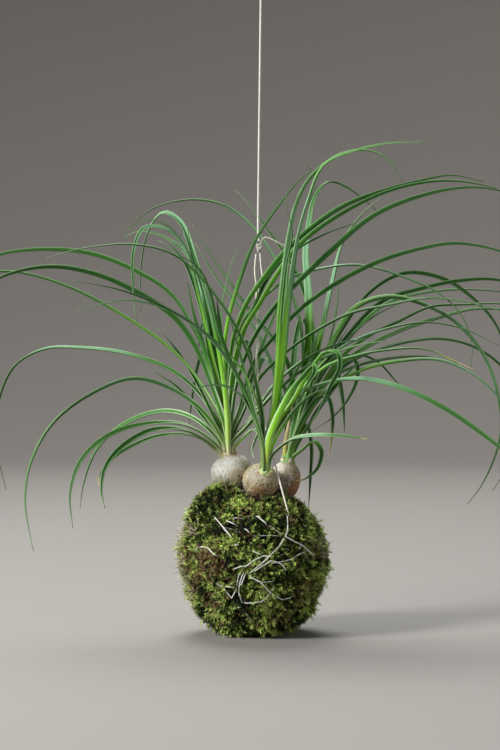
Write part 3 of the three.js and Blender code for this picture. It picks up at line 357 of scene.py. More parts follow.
# Tufts of moss that reach up to the bulbs: place on the soil and spread
COLLAR = [
    (3, -31, 97, 3), (12, -30, 97, 2.5), (-5, -29, 99, 2.2), (-24, -9, 103, 4), (-30, 0, 103, 4),
    (-19, -14, 102, 3), (24, -16, 101, 2.2), (33, -6, 99, 3), (-22, 22, 101, 4), (0, 26, 101, 5),
    (20, 24, 99, 4), (34, 10, 98, 4),
]

# Fine white roots at the foot of the left bulb: start, end and how far the middle rises
FINE_ROOTS = [
    ((-20, -7, 108), (-11, -10, 105), -1), ((-17, -8, 109), (-8, -11, 106), 0.5),
    ((-13, -6, 110), (-9, -12, 103), -1), ((-22, -4, 107), (-17, -11, 102), 0),
    ((-9, -9, 108), (-3, -13, 104), -0.5), ((-12, -8, 107), (-18, -12, 103), 0.6),
]

# Soft lamps: name, place and size in metres, power in watts, spread in degrees and colour
LIGHTS = [
    ("key lamp", (-1.7, -1.0, 1.15), 0.7, 26.6, 120, (1, 0.985, 0.96)),
    ("fill lamp", (1.5, -1.0, 0.6), 1.0, 4, 180, (0.96, 0.98, 1)),
    ("top lamp", (-0.3, 0.7, 1.7), 0.9, 18, 180, (1, 1, 1)),
    ("wall lamp", (0.0, 1.6, 3.2), 2.0, 60, 180, (1, 0.99, 0.97)),
]
LAMP_AIM = (0, 0, 0.18)

# The sweep in metres: its floor, the reach of the flat part, the bend that follows, and its steps round
SWEEP_FLOOR, SWEEP_FLAT, SWEEP_BEND, SWEEP_STEPS = -0.0004, 2.6, 1.4, 96

# Leaf feet of each plant: radius of their ring, width of a foot, how far up they are pale, how rusty and
# maroon they are, how strong their painted highlight lines are, and the age and outline of the sheath
# round them
FEET = {
    "left": {"ring": 3.9, "clasp": 3.8, "pale": 15, "rust": 0.4, "maroon": 0.5, "lines": 1.0, "age": 0.3,
             "sheath": [(5.6, -2.4), (5.2, -1), (4.6, 0.8), (4.1, 2.6), (3.7, 4.6), (3.5, 6.4)]},
    "front": {"ring": 2.7, "clasp": 4.0, "pale": 8, "rust": 0.15, "maroon": 0.5, "lines": 0.6, "age": 0.1,
              "sheath": [(4.9, -2.5), (4.7, -1), (4.5, 0.5), (4.2, 1.8), (3.8, 3), (3.3, 4)]},
    "right": {"ring": 2.9, "clasp": 4.6, "pale": 3, "rust": 0.3, "maroon": 0.2, "lines": 0.25, "age": 0.8,
              "sheath": [(5.6, -2.2), (5.3, -0.6), (5.0, 1.2), (4.6, 3.2), (4.4, 5.4), (4.3, 7.6)]},
}
FOOT_DEPTH = 2.6
SHEATH_STEPS, SHEATH_RIBS = 50, 5

# Torn scraps of old skin round each plant's neck
SCRAPS = {"left": 30, "front": 7, "right": 13}

# How far along a blade its foot starts to narrow, has the blade's width, and has turned to its heading
CLASP_START, CLASP_LENGTH, TURN_LENGTH = 3, 34, 42

# Rolls of the blades in radians, as a base and a swing that ROLL_STEP changes from leaf to leaf. Leaves
# that arch above HIGH_ARCH and have no painted sky sheen are seen from below. Other left leaves whose
# painted sheen starts past the broad share given below, or that have none, roll alike.
PLAIN_ROLL, FRONT_ROLL, ARCH_ROLL, LEFT_ROLL = (0.06, 0.24), (0.36, 0.35), (0.35, 0.3), 0.5
ROLL_STEP = 2.4
HIGH_ARCH = 262
BROAD_SHEEN = 0.4

# Short inner blades that close the fans: width, depth gained, age and roll, then x and z of each point
INNER_LEAVES = {
    "left": [
        (7.4, -6, 0.35, -0.1, -20.5, 146, -24, 165, -31, 193, -38, 217, -45, 240, -50, 264),
        (6.6, -16, 0.1, 0.1, -20, 150, -21.5, 172, -26, 197, -31, 220, -37, 245, -40, 265),
        (5.4, -12, 0.18, -0.1, -19, 150, -19.5, 175, -21.5, 200, -25, 225, -28, 252),
        (4.6, 20, 0.9, 0.5, -16, 146, -10, 165, -2, 190, 6, 215, 16, 240, 24, 262),
        (4.0, -12, 0.9, -0.5, -24, 142, -34, 156, -46, 172, -60, 186, -76, 196),
        (3.4, 14, 0.7, -0.4, -23, 146, -32, 166, -44, 190, -58, 212, -72, 228),
    ],
    "front": [
        (5.4, 4, 0.0, 0.1, 10, 140, 15, 165, 19, 195, 22, 228, 24, 262, 28, 295),
        (4.6, -6, 0.05, 0.3, 11, 140, 18, 165, 26, 186, 36, 204, 48, 222),
        (4.4, -8, 0.95, -0.2, 6, 140, 3, 160, -4, 186, -11, 212, -18, 236),
        (3.4, -10, 0.9, -0.4, 7, 140, 6, 162, 1, 190, -5, 218),
    ],
    "right": [
        (8.4, -8, 1.0, -0.1, 28, 139, 32, 151, 37, 166, 45, 186, 56, 208, 70, 228),
        (6.8, 10, 0.95, 0.3, 27, 142, 30, 158, 35, 178, 42, 204, 50, 232),
        (6.0, -12, 0.85, 0.6, 30, 138, 37, 151, 48, 168, 62, 186, 80, 204),
    ],
}

# Each group of pieces draws from random numbers of its own, with a seed counted from this one
SEED = 11

# Scattered pieces come no closer to the floor than this, in metres
LOWEST = 0.0004

# Points of a curve that are closer than this count as one
SAME_POINT = 1e-4

# The least square of the depth of a direction that is seen at the ball's edge
LEAST_DEPTH = 0.0025

# How deep the furrows between the yarns of a string are, as a share of its radius
PLY_FURROW = 0.16


# Curves and forms

def smooth(value, low, high):
    """Rises from 0 at low to 1 at high without corners."""
    share = np.clip((np.asarray(value, float) - low) / (high - low), 0, 1)
    return share * share * (3 - 2 * share)


def unit(vectors):
    """Vectors of length 1, along the last axis."""
    vectors = np.asarray(vectors, float)
    return vectors / np.maximum(np.linalg.norm(vectors, axis=-1, keepdims=True), 1e-12)


class Spline:
    """A curve through points that turns evenly however unevenly they are spaced."""

    def __init__(self, points, closed=False):
        points = np.asarray(points, float)
        self.closed = closed
        self.spans = len(points) if closed else len(points) - 1
        if closed:
            ends = points[-1:], points[:2]
        else:
            ends = 2 * points[:1] - points[1:2], 2 * points[-1:] - points[-2:-1]
        self.points = np.concatenate([ends[0], points, ends[1]])

    def at(self, shares):
        """Points at shares of the spans."""
        place = np.clip(np.asarray(shares, float), 0, 1) * self.spans
        first = np.minimum(place.astype(int), self.spans - 1)
        part = (place - first)[:, None]
        a, b, c, d = (self.points[first + i] for i in range(4))
        gap_0, gap_1, gap_2 = (np.linalg.norm(ahead - behind, axis=1, keepdims=True) ** 0.5
                               for behind, ahead in ((a, b), (b, c), (c, d)))
        gap_1 = np.where(gap_1 < SAME_POINT, 1, gap_1)
        gap_0 = np.where(gap_0 < SAME_POINT, gap_1, gap_0)
        gap_2 = np.where(gap_2 < SAME_POINT, gap_1, gap_2)
        start = ((b - a) / gap_0 - (c - a) / (gap_0 + gap_1) + (c - b) / gap_1) * gap_1
        end = ((c - b) / gap_1 - (d - b) / (gap_1 + gap_2) + (d - c) / gap_2) * gap_1
        return (b + start * part + (3 * (c - b) - 2 * start - end) * part ** 2
                + (2 * (b - c) + start + end) * part ** 3)

    def placed(self, shares, fine=400):
        """Points at shares of the whole length."""
        spans = np.linspace(0, 1, fine + 1)
        way = distances(self.at(spans))
        return self.at(np.interp(np.asarray(shares) * way[-1], way, spans))

    def spaced(self, steps, fine=400):
        """steps + 1 points an equal way apart, the first and last at the ends."""
        return self.placed(np.linspace(0, 1, steps + 1), fine)


def tangents(points):
    """Directions of travel along a row of points."""
    return unit(np.gradient(points, axis=0))


def pairs(values):
    """The points of a flat row."""
    return np.reshape(values, (-1, 2))


def distances(points):
    """How far along a row of points each one is."""
    return np.concatenate([[0], np.cumsum(np.linalg.norm(np.diff(points, axis=0), axis=1))])


def length_of(points):
    return float(distances(points)[-1])


def carried_frames(points):
    """Two directions across a route at each point, carried along it without twist."""
    along = tangents(points)
    sides = [unit(np.cross(along[0], (0.3, 1, 0.2)))]
    for i in range(1, len(points)):
        side = sides[-1] - along[i] * np.dot(sides[-1], along[i])
        sides.append(unit(side))
    sides = np.array(sides)
    return sides, np.cross(along, sides)


def lumps(points, scale, seed=0, octaves=3):
    """Smooth noise from about -1 to 1 at each point."""
    shift = Vector((seed * 7.31, seed * 3.17, seed * 5.73))
    return np.array([noise.fractal(Vector(p) * scale + shift, 1.0, 2.0, octaves) for p in points])


def moss_radius(dirs):
    """Radius of the moss's broad form in each direction from the ball's centre, in millimetres."""
    radius = np.full(len(dirs), float(MOSS_RADIUS))
    for towards, start, end, height in BULGES:
        radius += height * smooth(dirs @ unit(towards), start, end)
    x, y, z = dirs.T
    waves = np.sin(3.1 * x + 1.3) * np.cos(2.7 * z) + np.sin(4.3 * y - 2.1 * z)
    return radius + WAVE_HEIGHT * waves


def soil_radius(dirs):
    """Radius of the soil inside, with its mound under the bulbs, in millimetres."""
    return SOIL_RADIUS + MOUND_HEIGHT * smooth(dirs[:, 2], MOUND_FROM, MOUND_TO)


def in_mouth(points, widen=1.0):
    """How deep points lie inside the ball's open top, from 0 at its rim to 1 in its middle."""
    x = (points[:, 0] - MOUTH_X) / (MOUTH_HALF_X * widen)
    y = (points[:, 1] - MOUTH_Y) / (MOUTH_HALF_Y * widen)
    return np.where(points[:, 2] > BALL_Z, 1 - np.hypot(x, y), -1)


def ball_directions(count):
    """Directions spread evenly over a ball."""
    i = np.arange(count) + 0.5
    height = 1 - 2 * i / count
    turn = i * math.pi * (3 - math.sqrt(5))
    flat = np.sqrt(1 - height ** 2)
    return np.stack([flat * np.cos(turn), flat * np.sin(turn), height], axis=1)


def front_direction(x, z):
    """Direction from the ball's centre to the point of the moss that shows at x and z from the front."""
    view_x, view_z, _ = FRAME_VIEW
    guess = np.array([x, 0, z - BALL_Z], float) / (MOSS_RADIUS + THREAD_HEIGHT)
    for _ in range(4):
        guess[1] = -math.sqrt(max(LEAST_DEPTH, 1 - (guess[0] ** 2 + guess[2] ** 2)))
        radius = moss_radius(unit(guess)[None])[0] + THREAD_HEIGHT
        nearer = 1 + radius * guess[1] / (VIEW_DISTANCE / MM)
        seen_x = view_x + (x - view_x) * nearer
        seen_z = view_z + (z - view_z) * nearer
        guess = np.array([seen_x, 0, seen_z - BALL_Z]) / radius
    guess[1] = -math.sqrt(max(LEAST_DEPTH, 1 - guess[0] ** 2 - guess[2] ** 2))
    return unit(guess)


# Mesh helpers

def grid(bm, columns, rows):
    """Corners of a new flat grid, from -0.5 to 0.5 both ways."""
    return bmesh.ops.create_grid(bm, x_segments=columns, y_segments=rows, size=0.5)["verts"]


def laid_tube(bm, route, radius, sides, plies=0, pitch=1.0, taper=None):
    """Adds a closed tube along a route in metres, round or of plies that turn once in a pitch."""
    rows = len(route) - 1
    turns = length_of(route) / pitch
    taper = np.ones(rows + 1) if taper is None else np.asarray(taper, float)
    side, up = carried_frames(route)
    made = grid(bm, sides, rows)
    for vert in made:
        row = round((vert.co.y + 0.5) * rows)
        turn = 2 * math.pi * (vert.co.x + 0.5)
        twist = 2 * math.pi * turns * row / rows
        swell = 1 + (PLY_FURROW * math.cos(plies * (turn + twist)) if plies else 0)
        out = side[row] * math.cos(turn) + up[row] * math.sin(turn)
        vert.co = Vector(route[row] + out * radius * swell * taper[row])
    bmesh.ops.remove_doubles(bm, verts=made, dist=radius * 1e-3)
    rims = [edge for edge in bm.edges if edge.is_boundary and edge.is_valid]
    bmesh.ops.holes_fill(bm, edges=rims, sides=sides)


def turned(bm, outline, steps):
    """Spins an outline of radius and height about +Z into a closed skin."""
    verts = [bm.verts.new((radius, 0, height)) for radius, height in outline]
    edges = [bm.edges.new(pair) for pair in zip(verts, verts[1:])]
    bmesh.ops.spin(bm, geom=verts + edges, cent=(0, 0, 0), axis=(0, 0, 1), dvec=(0, 0, 0),
                   angle=2 * math.pi, steps=steps, use_merge=True)
    bmesh.ops.remove_doubles(bm, verts=bm.verts, dist=1e-7)
    bmesh.ops.recalc_face_normals(bm, faces=bm.faces)


def lying_along(direction, position):
    """Matrix that turns +Z to a direction and moves the origin to a position."""
    turn = Vector((0, 0, 1)).rotation_difference(Vector(direction).normalized())
    return Matrix.Translation(Vector(position)) @ turn.to_matrix().to_4x4()


def linked(name, data):
    """A new object in the scene."""
    thing = bpy.data.objects.new(name, data)
    bpy.context.scene.collection.objects.link(thing)
    return thing


def shown(name, mesh, finish):
    """A mesh in the scene, smooth shaded and with its finish."""
    mesh.polygons.foreach_set("use_smooth", np.ones(len(mesh.polygons), bool))
    mesh.update()
    mesh.materials.append(finish)
    return linked(name, mesh)


def mesh_from(name, bm):
    mesh = bpy.data.meshes.new(name)
    bm.to_mesh(mesh)
    bm.free()
    return mesh


def piece_from(name, mesh, finish, nodes=()):
    """Shows a mesh as a named piece that rides on the root body."""
    piece = shown(name, mesh, finish)
    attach(piece, "root")
    if nodes:
        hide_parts(*nodes)
    return piece


def finished(name, bm, finish, nodes=()):
    """Turns a bmesh into a named piece."""
    return piece_from(name, mesh_from(name, bm), finish, nodes)


def thicken(piece, thickness, offset=0):
    """Gives a piece that is an open skin its thickness in metres."""
    wall = piece.modifiers.new("Solidify", "SOLIDIFY")
    wall.thickness, wall.offset = thickness, offset


def template(bm):
    """Points, triangles and point colours of a small shape that is repeated."""
    bmesh.ops.triangulate(bm, faces=bm.faces)
    bm.verts.ensure_lookup_table()
    layer = bm.verts.layers.float.get("tip")
    points = np.array([v.co[:] for v in bm.verts])
    triangles = np.array([[v.index for v in face.verts] for face in bm.faces])
    tips = np.array([v[layer] for v in bm.verts]) if layer else np.zeros(len(points))
    bm.free()
    return points, triangles, tips


def scattered(name, shapes, choice, turns, places, tints, finish):
    """One mesh of many copies: choice picks the shape, turns are 3 by 3 and places are in metres."""
    all_points, all_triangles, all_colours, shift = [], [], [], 0
    for which, (points, triangles, tips) in enumerate(shapes):
        use = np.flatnonzero(choice == which)
        if not len(use):
            continue
        laid = np.einsum("nij,pj->npi", turns[use], points) + places[use][:, None]
        laid[..., 2] = np.maximum(laid[..., 2], LOWEST)
        index = triangles[None] + len(points) * np.arange(len(use))[:, None, None] + shift
        colour = np.zeros((len(use), len(points), 4))
        colour[..., 0] = tints[use][:, None]
        colour[..., 1] = tips
        colour[..., 3] = 1
        all_points.append(laid.reshape(-1, 3))
        all_triangles.append(index.reshape(-1, 3))
        all_colours.append(colour.reshape(-1, 4))
        shift += len(use) * len(points)
    points, triangles = np.concatenate(all_points), np.concatenate(all_triangles)
    mesh = bpy.data.meshes.new(name)
    mesh.vertices.add(len(points))
    mesh.vertices.foreach_set("co", points.astype(np.float32).ravel())
    mesh.loops.add(triangles.size)
    mesh.loops.foreach_set("vertex_index", triangles.astype(np.int32).ravel())
    mesh.polygons.add(len(triangles))
    mesh.polygons.foreach_set("loop_start", np.arange(0, triangles.size, 3, dtype=np.int32))
    mesh.update(calc_edges=True)
    layer = mesh.attributes.new("tone", "FLOAT_COLOR", "POINT")
    layer.data.foreach_set("color", np.concatenate(all_colours).astype(np.float32).ravel())
    return piece_from(name, mesh, finish)


# Finishes

class Wire:
    """A shader socket that adds Math nodes when it is used in arithmetic."""

    def __init__(self, finish, socket):
        self.finish, self.socket = finish, socket

    def math(self, operation, *values):
        return self.finish.node("ShaderNodeMath", {"operation": operation}, dict(enumerate(values)))

    def __add__(self, other):
        return self.math("ADD", self, other)

    def __radd__(self, other):
        return self.math("ADD", other, self)

    def __sub__(self, other):
        return self.math("SUBTRACT", self, other)

    def __rsub__(self, other):
        return self.math("SUBTRACT", other, self)

    def __mul__(self, other):
        return self.math("MULTIPLY", self, other)

    def __rmul__(self, other):
        return self.math("MULTIPLY", other, self)

    def __truediv__(self, other):
        return self.math("DIVIDE", self, other)

    def __pow__(self, other):
        return self.math("POWER", self, other)

    def sine(self):
        return self.math("SINE", self)

    def size(self):
        return self.math("ABSOLUTE", self)

    def rise(self, low, high):
        """0 below low, 1 above high, smooth between."""
        return self.finish.node("ShaderNodeMapRange", {"interpolation_type": "SMOOTHSTEP"}, {
            "Value": self, "From Min": low, "From Max": high}, "Result")

    def mix(self, factor, other):
        """This colour with another laid over it."""
        return self.finish.mix(factor, self, other)


def opaque(colour):
    """What a colour socket takes: a wire as it is, or a triple with full alpha."""
    return colour if isinstance(colour, Wire) else (*colour, 1)


class Finish:
    """A material that is built up by adding nodes."""

    def __init__(self, name):
        self.material = bpy.data.materials.new(name)
        self.material.use_nodes = True
        self.tree = self.material.node_tree
        self.tree.nodes.clear()

    def node(self, kind, settings=None, inputs=None, output=0):
        """Adds a node: first its settings, then the values or links of its sockets."""
        node = self.tree.nodes.new(kind)
        for key, value in (settings or {}).items():
            if key == "stops":
                self.set_stops(node.color_ramp, value)
            else:
                setattr(node, key, value)
        for key, value in (inputs or {}).items():
            if isinstance(value, Wire):
                self.tree.links.new(value.socket, node.inputs[key])
            else:
                node.inputs[key].default_value = value
        return Wire(self, node.outputs[output])

    @staticmethod
    def set_stops(ramp, stops):
        while len(ramp.elements) < len(stops):
            ramp.elements.new(1)
        for element, (place, colour) in zip(ramp.elements, stops):
            element.position = place
            element.color = (*colour, 1)

    def coords(self):
        return self.node("ShaderNodeTexCoord", output="Object")

    def split(self, vector):
        return [self.node("ShaderNodeSeparateXYZ", inputs={0: vector}, output=i) for i in range(3)]

    def attribute(self, name, channel):
        """One channel of a piece's colour attribute: 0, 1 or 2."""
        colour = self.node("ShaderNodeAttribute", {"attribute_name": name}, output="Color")
        return self.node("ShaderNodeSeparateColor", inputs={0: colour}, output=channel)

    def noise(self, scale, detail=3.0, roughness=0.55, vector=None):
        return self.node("ShaderNodeTexNoise", {"normalize": True}, {
            "Vector": vector or self.coords(), "Scale": scale, "Detail": detail,
            "Roughness": roughness}, "Fac")

    def cells(self, scale, feature="F1"):
        return self.node("ShaderNodeTexVoronoi", {"feature": feature}, {
            "Vector": self.coords(), "Scale": scale}, "Distance")

    def mix(self, factor, first, second):
        """Colour between two colours, each a triple or a wire."""
        return self.node("ShaderNodeMix", {"data_type": "RGBA", "clamp_factor": True},
                         {0: factor, 6: opaque(first), 7: opaque(second)}, 2)

    def ramp(self, value, stops):
        return self.node("ShaderNodeValToRGB", {"stops": stops}, {"Fac": value}, "Color")

    def near(self, point, reach, soft):
        """1 within a reach of a point in metres, falling to 0 over a soft edge."""
        away = self.node("ShaderNodeVectorMath", {"operation": "DISTANCE"},
                         {0: self.coords(), 1: Vector(point)}, "Value")
        return 1 - away.rise(reach, reach + soft)

    def surface(self, colour, roughness, height=None, depth=0.001, strength=1.0, **fixed):
        """Ends the material in one Principled surface, with bumps of a depth in metres."""
        inputs = {"Base Color": opaque(colour), "Roughness": roughness}
        if height is not None:
            inputs["Normal"] = self.node("ShaderNodeBump", None, {
                "Height": height, "Distance": depth, "Strength": strength}, "Normal")
        for key, value in fixed.items():
            inputs[key.replace("_", " ")] = value
        shader = self.node("ShaderNodeBsdfPrincipled", None, inputs, "BSDF")
        output = self.tree.nodes.new("ShaderNodeOutputMaterial")
        self.tree.links.new(shader.socket, output.inputs["Surface"])
        return self.material


# Leaves

# Faces along and across a blade, with its rows closer together towards the foot
LEAF_ROWS, LEAF_COLUMNS, ROW_CROWDING = 66, 6, 1.3
ROW_PLACES = np.linspace(0, 1, LEAF_ROWS + 1) ** ROW_CROWDING

# How slowly a leaf gains its depth at first, and the reach that turns its foot fully to front or back
DEPTH_POWER, FULL_REACH = 1.3, 60

# The least width of a tip, where a blade begins to taper, and how sharply
TIP_WIDTH, TAPER_FROM, TAPER_POWER = 0.3, 0.45, 1.7

# Blade width against the table's: as the frame has it, where leaves are kept clear, and as drawn
PACKED_WIDTH, FULL_WIDTH = 1.12, 1.36

# How far below its first point a leaf parts from its plant's middle in the frame, and the shares of the
# middle's height between which it does
PART_DROP, PART_LOW, PART_HIGH = 8, 0.05, 0.75


def crown_ways(plant):
    """A crown's foot, the way it leans, and two ways square to that."""
    lean = unit(BULBS[plant]["lean"])
    side = unit(np.array([1, 0, 0]) - lean * lean[0])
    return np.array(CROWNS[plant]["foot"]), lean, side, np.cross(lean, side)


def packed_foot(plant, marks):
    """Where a leaf leaves its plant's middle in the frame."""
    foot, lean, _, _ = crown_ways(plant)
    low, high = foot + lean * STUB_HEIGHT, np.array(CROWNS[plant]["top"], float)
    share = (marks[0][1] - PART_DROP - low[2]) / (high[2] - low[2])
    return low + (high - low) * np.clip(share, PART_LOW, PART_HIGH)


def ring_foot(plant, reach, marks):
    """Where a leaf stands in the ring of feet on its bulb, and the way that is out from the middle."""
    foot, lean, side, back = crown_ways(plant)
    run, rise = marks[1][0] - foot[0], marks[1][1] - foot[2]
    sideways = run / math.hypot(run, rise)
    depth = max(-1, min(1, reach / FULL_REACH)) * math.sqrt(1 - sideways ** 2)
    out = side * sideways + back * depth
    return foot - lean * FOOT_DEPTH + out * FEET[plant]["ring"], out


def leaf_curve(foot, reach, marks):
    """The curve that a leaf follows from its foot before it is bent clear of others."""
    flat = np.array([(foot[0], foot[2]), *marks], float)
    along = np.concatenate([[0], np.cumsum(np.hypot(*np.diff(flat, axis=0).T))])
    depth = foot[1] + reach * (along / along[-1]) ** DEPTH_POWER
    nearer = 1 + depth / FRAME_VIEW[2]
    nearer[0] = 1
    x = FRAME_VIEW[0] + (flat[:, 0] - FRAME_VIEW[0]) * nearer
    z = FRAME_VIEW[1] + (flat[:, 1] - FRAME_VIEW[1]) * nearer
    return Spline(np.stack([x, depth, z], axis=1))


def pair_table(tracks, plants, widths, leaf_count):
    """Every two stretches of different plants, or of a leaf and a string, with the room they need."""
    starts = np.concatenate([[0], np.cumsum([len(track) for track in tracks])])
    rows = []
    for i in range(leaf_count):
        for j in range(i + 1, len(tracks)):
            if plants[i] == plants[j]:
                continue
            first = np.arange(starts[i], starts[i + 1] - 1)
            second = np.arange(starts[j], starts[j + 1] - 1)
            a, c = (grid.ravel() for grid in np.meshgrid(first, second, indexing="ij"))
            need = BEND["spread"] * (widths[i] + widths[j]) + BEND["room"]
            weight = 1.0 if plants[j] == "string" else 0.5
            rows.append(np.stack([a, c, np.full(len(a), need), np.full(len(a), weight)]))
    table = np.concatenate(rows, axis=1)
    return table[0].astype(int), table[1].astype(int), table[2], table[3]


def bend_clear(spines, plants, widths, lines, balls):
    """Bends the leaves of different plants, and the string, clear of each other, mostly in depth."""
    tracks = [*spines, *(points for points, _ in lines)]
    plants, widths = [*plants, *("string" for _ in lines)], [*widths, *(width for _, width in lines)]
    first, second, need, weight = pair_table(tracks, plants, widths, len(spines))
    points = np.concatenate(tracks)
    rows, size = len(spines), len(spines[0])
    leaf_widths = np.repeat(widths[:rows], size)
    for _ in range(BEND["rounds"]):
        push = np.zeros_like(points)
        add_pair_pushes(points, push, first, second, need, weight)
        bent = points[:rows * size]
        for centre, radius in balls:
            out = bent - centre
            far = np.linalg.norm(out, axis=1)
            short = radius + leaf_widths / 2 - far
            push[:rows * size] += np.where(short > 0, short / far, 0)[:, None] * out
        own = push[:rows * size].reshape(rows, size, 3)
        before = own[:, BEND["fixed"] - 1:-1]
        after = np.concatenate([own[:, BEND["fixed"] + 1:], own[:, -1:]], axis=1)
        moved = BEND["next"] * before + BEND["own"] * own[:, BEND["fixed"]:] + BEND["next"] * after
        bent.reshape(rows, size, 3)[:, BEND["fixed"]:] += moved
    return points[:rows * size].reshape(rows, size, 3)


def add_pair_pushes(points, push, first, second, need, weight):
    a, b, c, d = points[first], points[first + 1], points[second], points[second + 1]
    near = np.ones(len(first), bool)
    for axis in (0, 2):
        near &= np.minimum(a[:, axis], b[:, axis]) <= np.maximum(c[:, axis], d[:, axis]) + need
        near &= np.minimum(c[:, axis], d[:, axis]) <= np.maximum(a[:, axis], b[:, axis]) + need
    a, b, c, d, first, second = a[near], b[near], c[near], d[near], first[near], second[near]
    need, weight = need[near], weight[near]
    ab, cd, ca = b - a, d - c, a - c
    aa, ee, bb = (ab * ab).sum(1), (cd * cd).sum(1), (ab * cd).sum(1)
    cc, ff = (ab * ca).sum(1), (cd * ca).sum(1)
    base = aa * ee - bb * bb
    s = np.where(base > 1e-9, np.clip((bb * ff - cc * ee) / np.where(base > 1e-9, base, 1), 0, 1), 0)
    t = np.clip((bb * s + ff) / ee, 0, 1)
    s = np.clip((bb * t - cc) / aa, 0, 1)
    apart = a + ab * s[:, None] - c - cd * t[:, None]
    distance = np.linalg.norm(apart, axis=1)
    apart[:, 1] = np.where(apart[:, 1] == 0, 1e-3, apart[:, 1])
    apart = unit(apart * (BEND["side"], 1, BEND["side"]))
    apart *= (np.maximum(0, need - distance) * BEND["share"])[:, None]
    np.add.at(push, first, apart * (weight * (1 - s))[:, None])
    np.add.at(push, first + 1, apart * (weight * s)[:, None])
    np.add.at(push, second, apart * ((weight - 1) * (1 - t))[:, None])
    np.add.at(push, second + 1, apart * ((weight - 1) * t)[:, None])


def leaf_roll(leaf, points):
    """How far a leaf rolls about its spine, in radians."""
    heading = -1 if points[-1][0] < points[0][0] else 1
    step = ROLL_STEP * leaf["place"]
    if leaf["plant"] == "front":
        return heading * (FRONT_ROLL[0] + FRONT_ROLL[1] * math.sin(step))
    if points[:, 2].max() > HIGH_ARCH and leaf["bloom"] == NO_SHEEN:
        return -heading * (ARCH_ROLL[0] + ARCH_ROLL[1] * abs(math.cos(step)))
    if leaf["plant"] == "left" and leaf["bloom"] > BROAD_SHEEN:
        return heading * LEFT_ROLL
    return heading * (PLAIN_ROLL[0] + PLAIN_ROLL[1] * math.cos(step))


def grow_leaves():
    """Every leaf with its plant, width, age, start of painted sky sheen, dry tip, roll, way out and
    spine.
    """
    leaves = []
    for plant, rows in LEAVES.items():
        for place, (width, reach, age, *marks) in enumerate(rows):
            marks = pairs(marks)
            foot, out = ring_foot(plant, reach, marks)
            leaves.append({
                "plant": plant, "place": place, "width": PACKED_WIDTH * width, "age": age, "out": out,
                "bloom": SKY_SHEEN[plant].get(place, NO_SHEEN), "dry": DRY_TIPS.get((plant, place)),
                "packed": leaf_curve(packed_foot(plant, marks), reach, marks),
                "drawn": leaf_curve(foot, reach, marks)})
    plain = [leaf["packed"].spaced(LEAF_STEPS, LEAF_FINENESS) for leaf in leaves]
    strings = [(np.array(route) / MM, BEND[width]) for route, width in (
        (FRONT_STRAND, "string_width"), (BACK_STRAND, "string_width"), (HANGING_LINE, "line_width"),
        (TAIL, "string_width"))]
    balls = [(np.array(b["centre"]), b["outline"][5][0] + BEND["bulb_room"]) for b in BULBS.values()]
    balls.append((np.array([0, 0, BALL_Z]), MOSS_RADIUS + BEND["ball_room"]))
    plants, widths = [leaf["plant"] for leaf in leaves], [leaf["width"] for leaf in leaves]
    for leaf, before, after in zip(leaves, plain, bend_clear(plain, plants, widths, strings, balls)):
        leaf["roll"] = leaf_roll(leaf, after)
        shift = Spline(after).at(ROW_PLACES) - Spline(before).at(ROW_PLACES)
        leaf["spine"] = leaf["drawn"].placed(ROW_PLACES) + shift
        leaf["width"] *= FULL_WIDTH / PACKED_WIDTH
    for plant, rows in INNER_LEAVES.items():
        for width, reach, age, roll, *marks in rows:
            marks = pairs(marks)
            foot, out = ring_foot(plant, reach, marks)
            leaves.append({
                "plant": plant, "width": width, "age": age, "out": out, "bloom": NO_SHEEN, "dry": None,
                "roll": roll, "spine": leaf_curve(foot, reach, marks).placed(ROW_PLACES)})
    return leaves


def blade_width(width, clasp, way):
    """A clasping foot, a long even stretch and a drawn-out tip."""
    foot = (clasp - width) * (1 - smooth(way, CLASP_START, CLASP_LENGTH))
    taper = 1 - np.maximum(0, (way / way[-1] - TAPER_FROM) / (1 - TAPER_FROM)) ** TAPER_POWER
    return np.maximum(TIP_WIDTH, (width + foot) * taper)


def add_blade(bm, leaf, channel, layers, rng):
    """A strap blade with a channel along its upper face, laid on the leaf's spine."""
    spine = leaf["spine"]
    rows = len(spine) - 1
    share, way = ROW_PLACES, distances(spine)
    grown = smooth(way, CLASP_START, TURN_LENGTH)
    away = (spine[-1] - spine[0]) * (1, 1, 0)
    foot_out = leaf["out"] * (1, 1, 0)
    facing = 1 if away[0] < 0 else -1
    heading = unit(unit(away) * (grown + 0.05)[:, None] + unit(foot_out) * (1 - grown)[:, None])
    across = np.cross((0, 0, 1), heading)
    along = tangents(spine)
    side = unit(across - along * (along * across).sum(1)[:, None])
    up = np.cross(along, side)
    turned_over = leaf["roll"] * (0.2 + 0.8 * smooth(share, 0.15, 0.5))
    turn = (turned_over + 0.3 * np.sin(3 * share + 7 * leaf["roll"])) * (0.15 + 0.85 * grown)
    edge = side * np.cos(turn)[:, None] + up * np.sin(turn)[:, None]
    face = up * np.cos(turn)[:, None] - side * np.sin(turn)[:, None]
    wave = 1 + 0.035 * np.sin(share * rng.uniform(18, 30) + rng.uniform(0, 6))
    clasp = FEET[leaf["plant"]]["clasp"] * rng.uniform(0.8, 1.1)
    width = blade_width(leaf["width"], clasp, way) * wave
    sink = width * (channel + 0.14 * (1 - smooth(way, 2, 30)))
    # bloom here is the share of the blade where its painted reflection, a bluish sheen of the sky, starts
    age, dry, bloom = leaf["age"], leaf["dry"], leaf["bloom"] + rng.uniform(0, 0.03)
    made = grid(bm, LEAF_COLUMNS, rows)
    for vert in made:
        place, row = 2 * vert.co.x, round((vert.co.y + 0.5) * rows)
        drop = sink[row] * (1 - abs(place) ** 1.6)
        point = spine[row] + edge[row] * (place * width[row] / 2) - face[row] * drop
        vert.co = Vector(point * MM)
        # across is turned with the leaf's heading, so the half painted in shade keeps to the same side of
        # leaves heading either way
        vert[layers[0]] = (facing * place / 2 + 0.5, share[row], age, 1)
        vert[layers[1]] = (dry, bloom, min(1, way[row] / 100), 1)


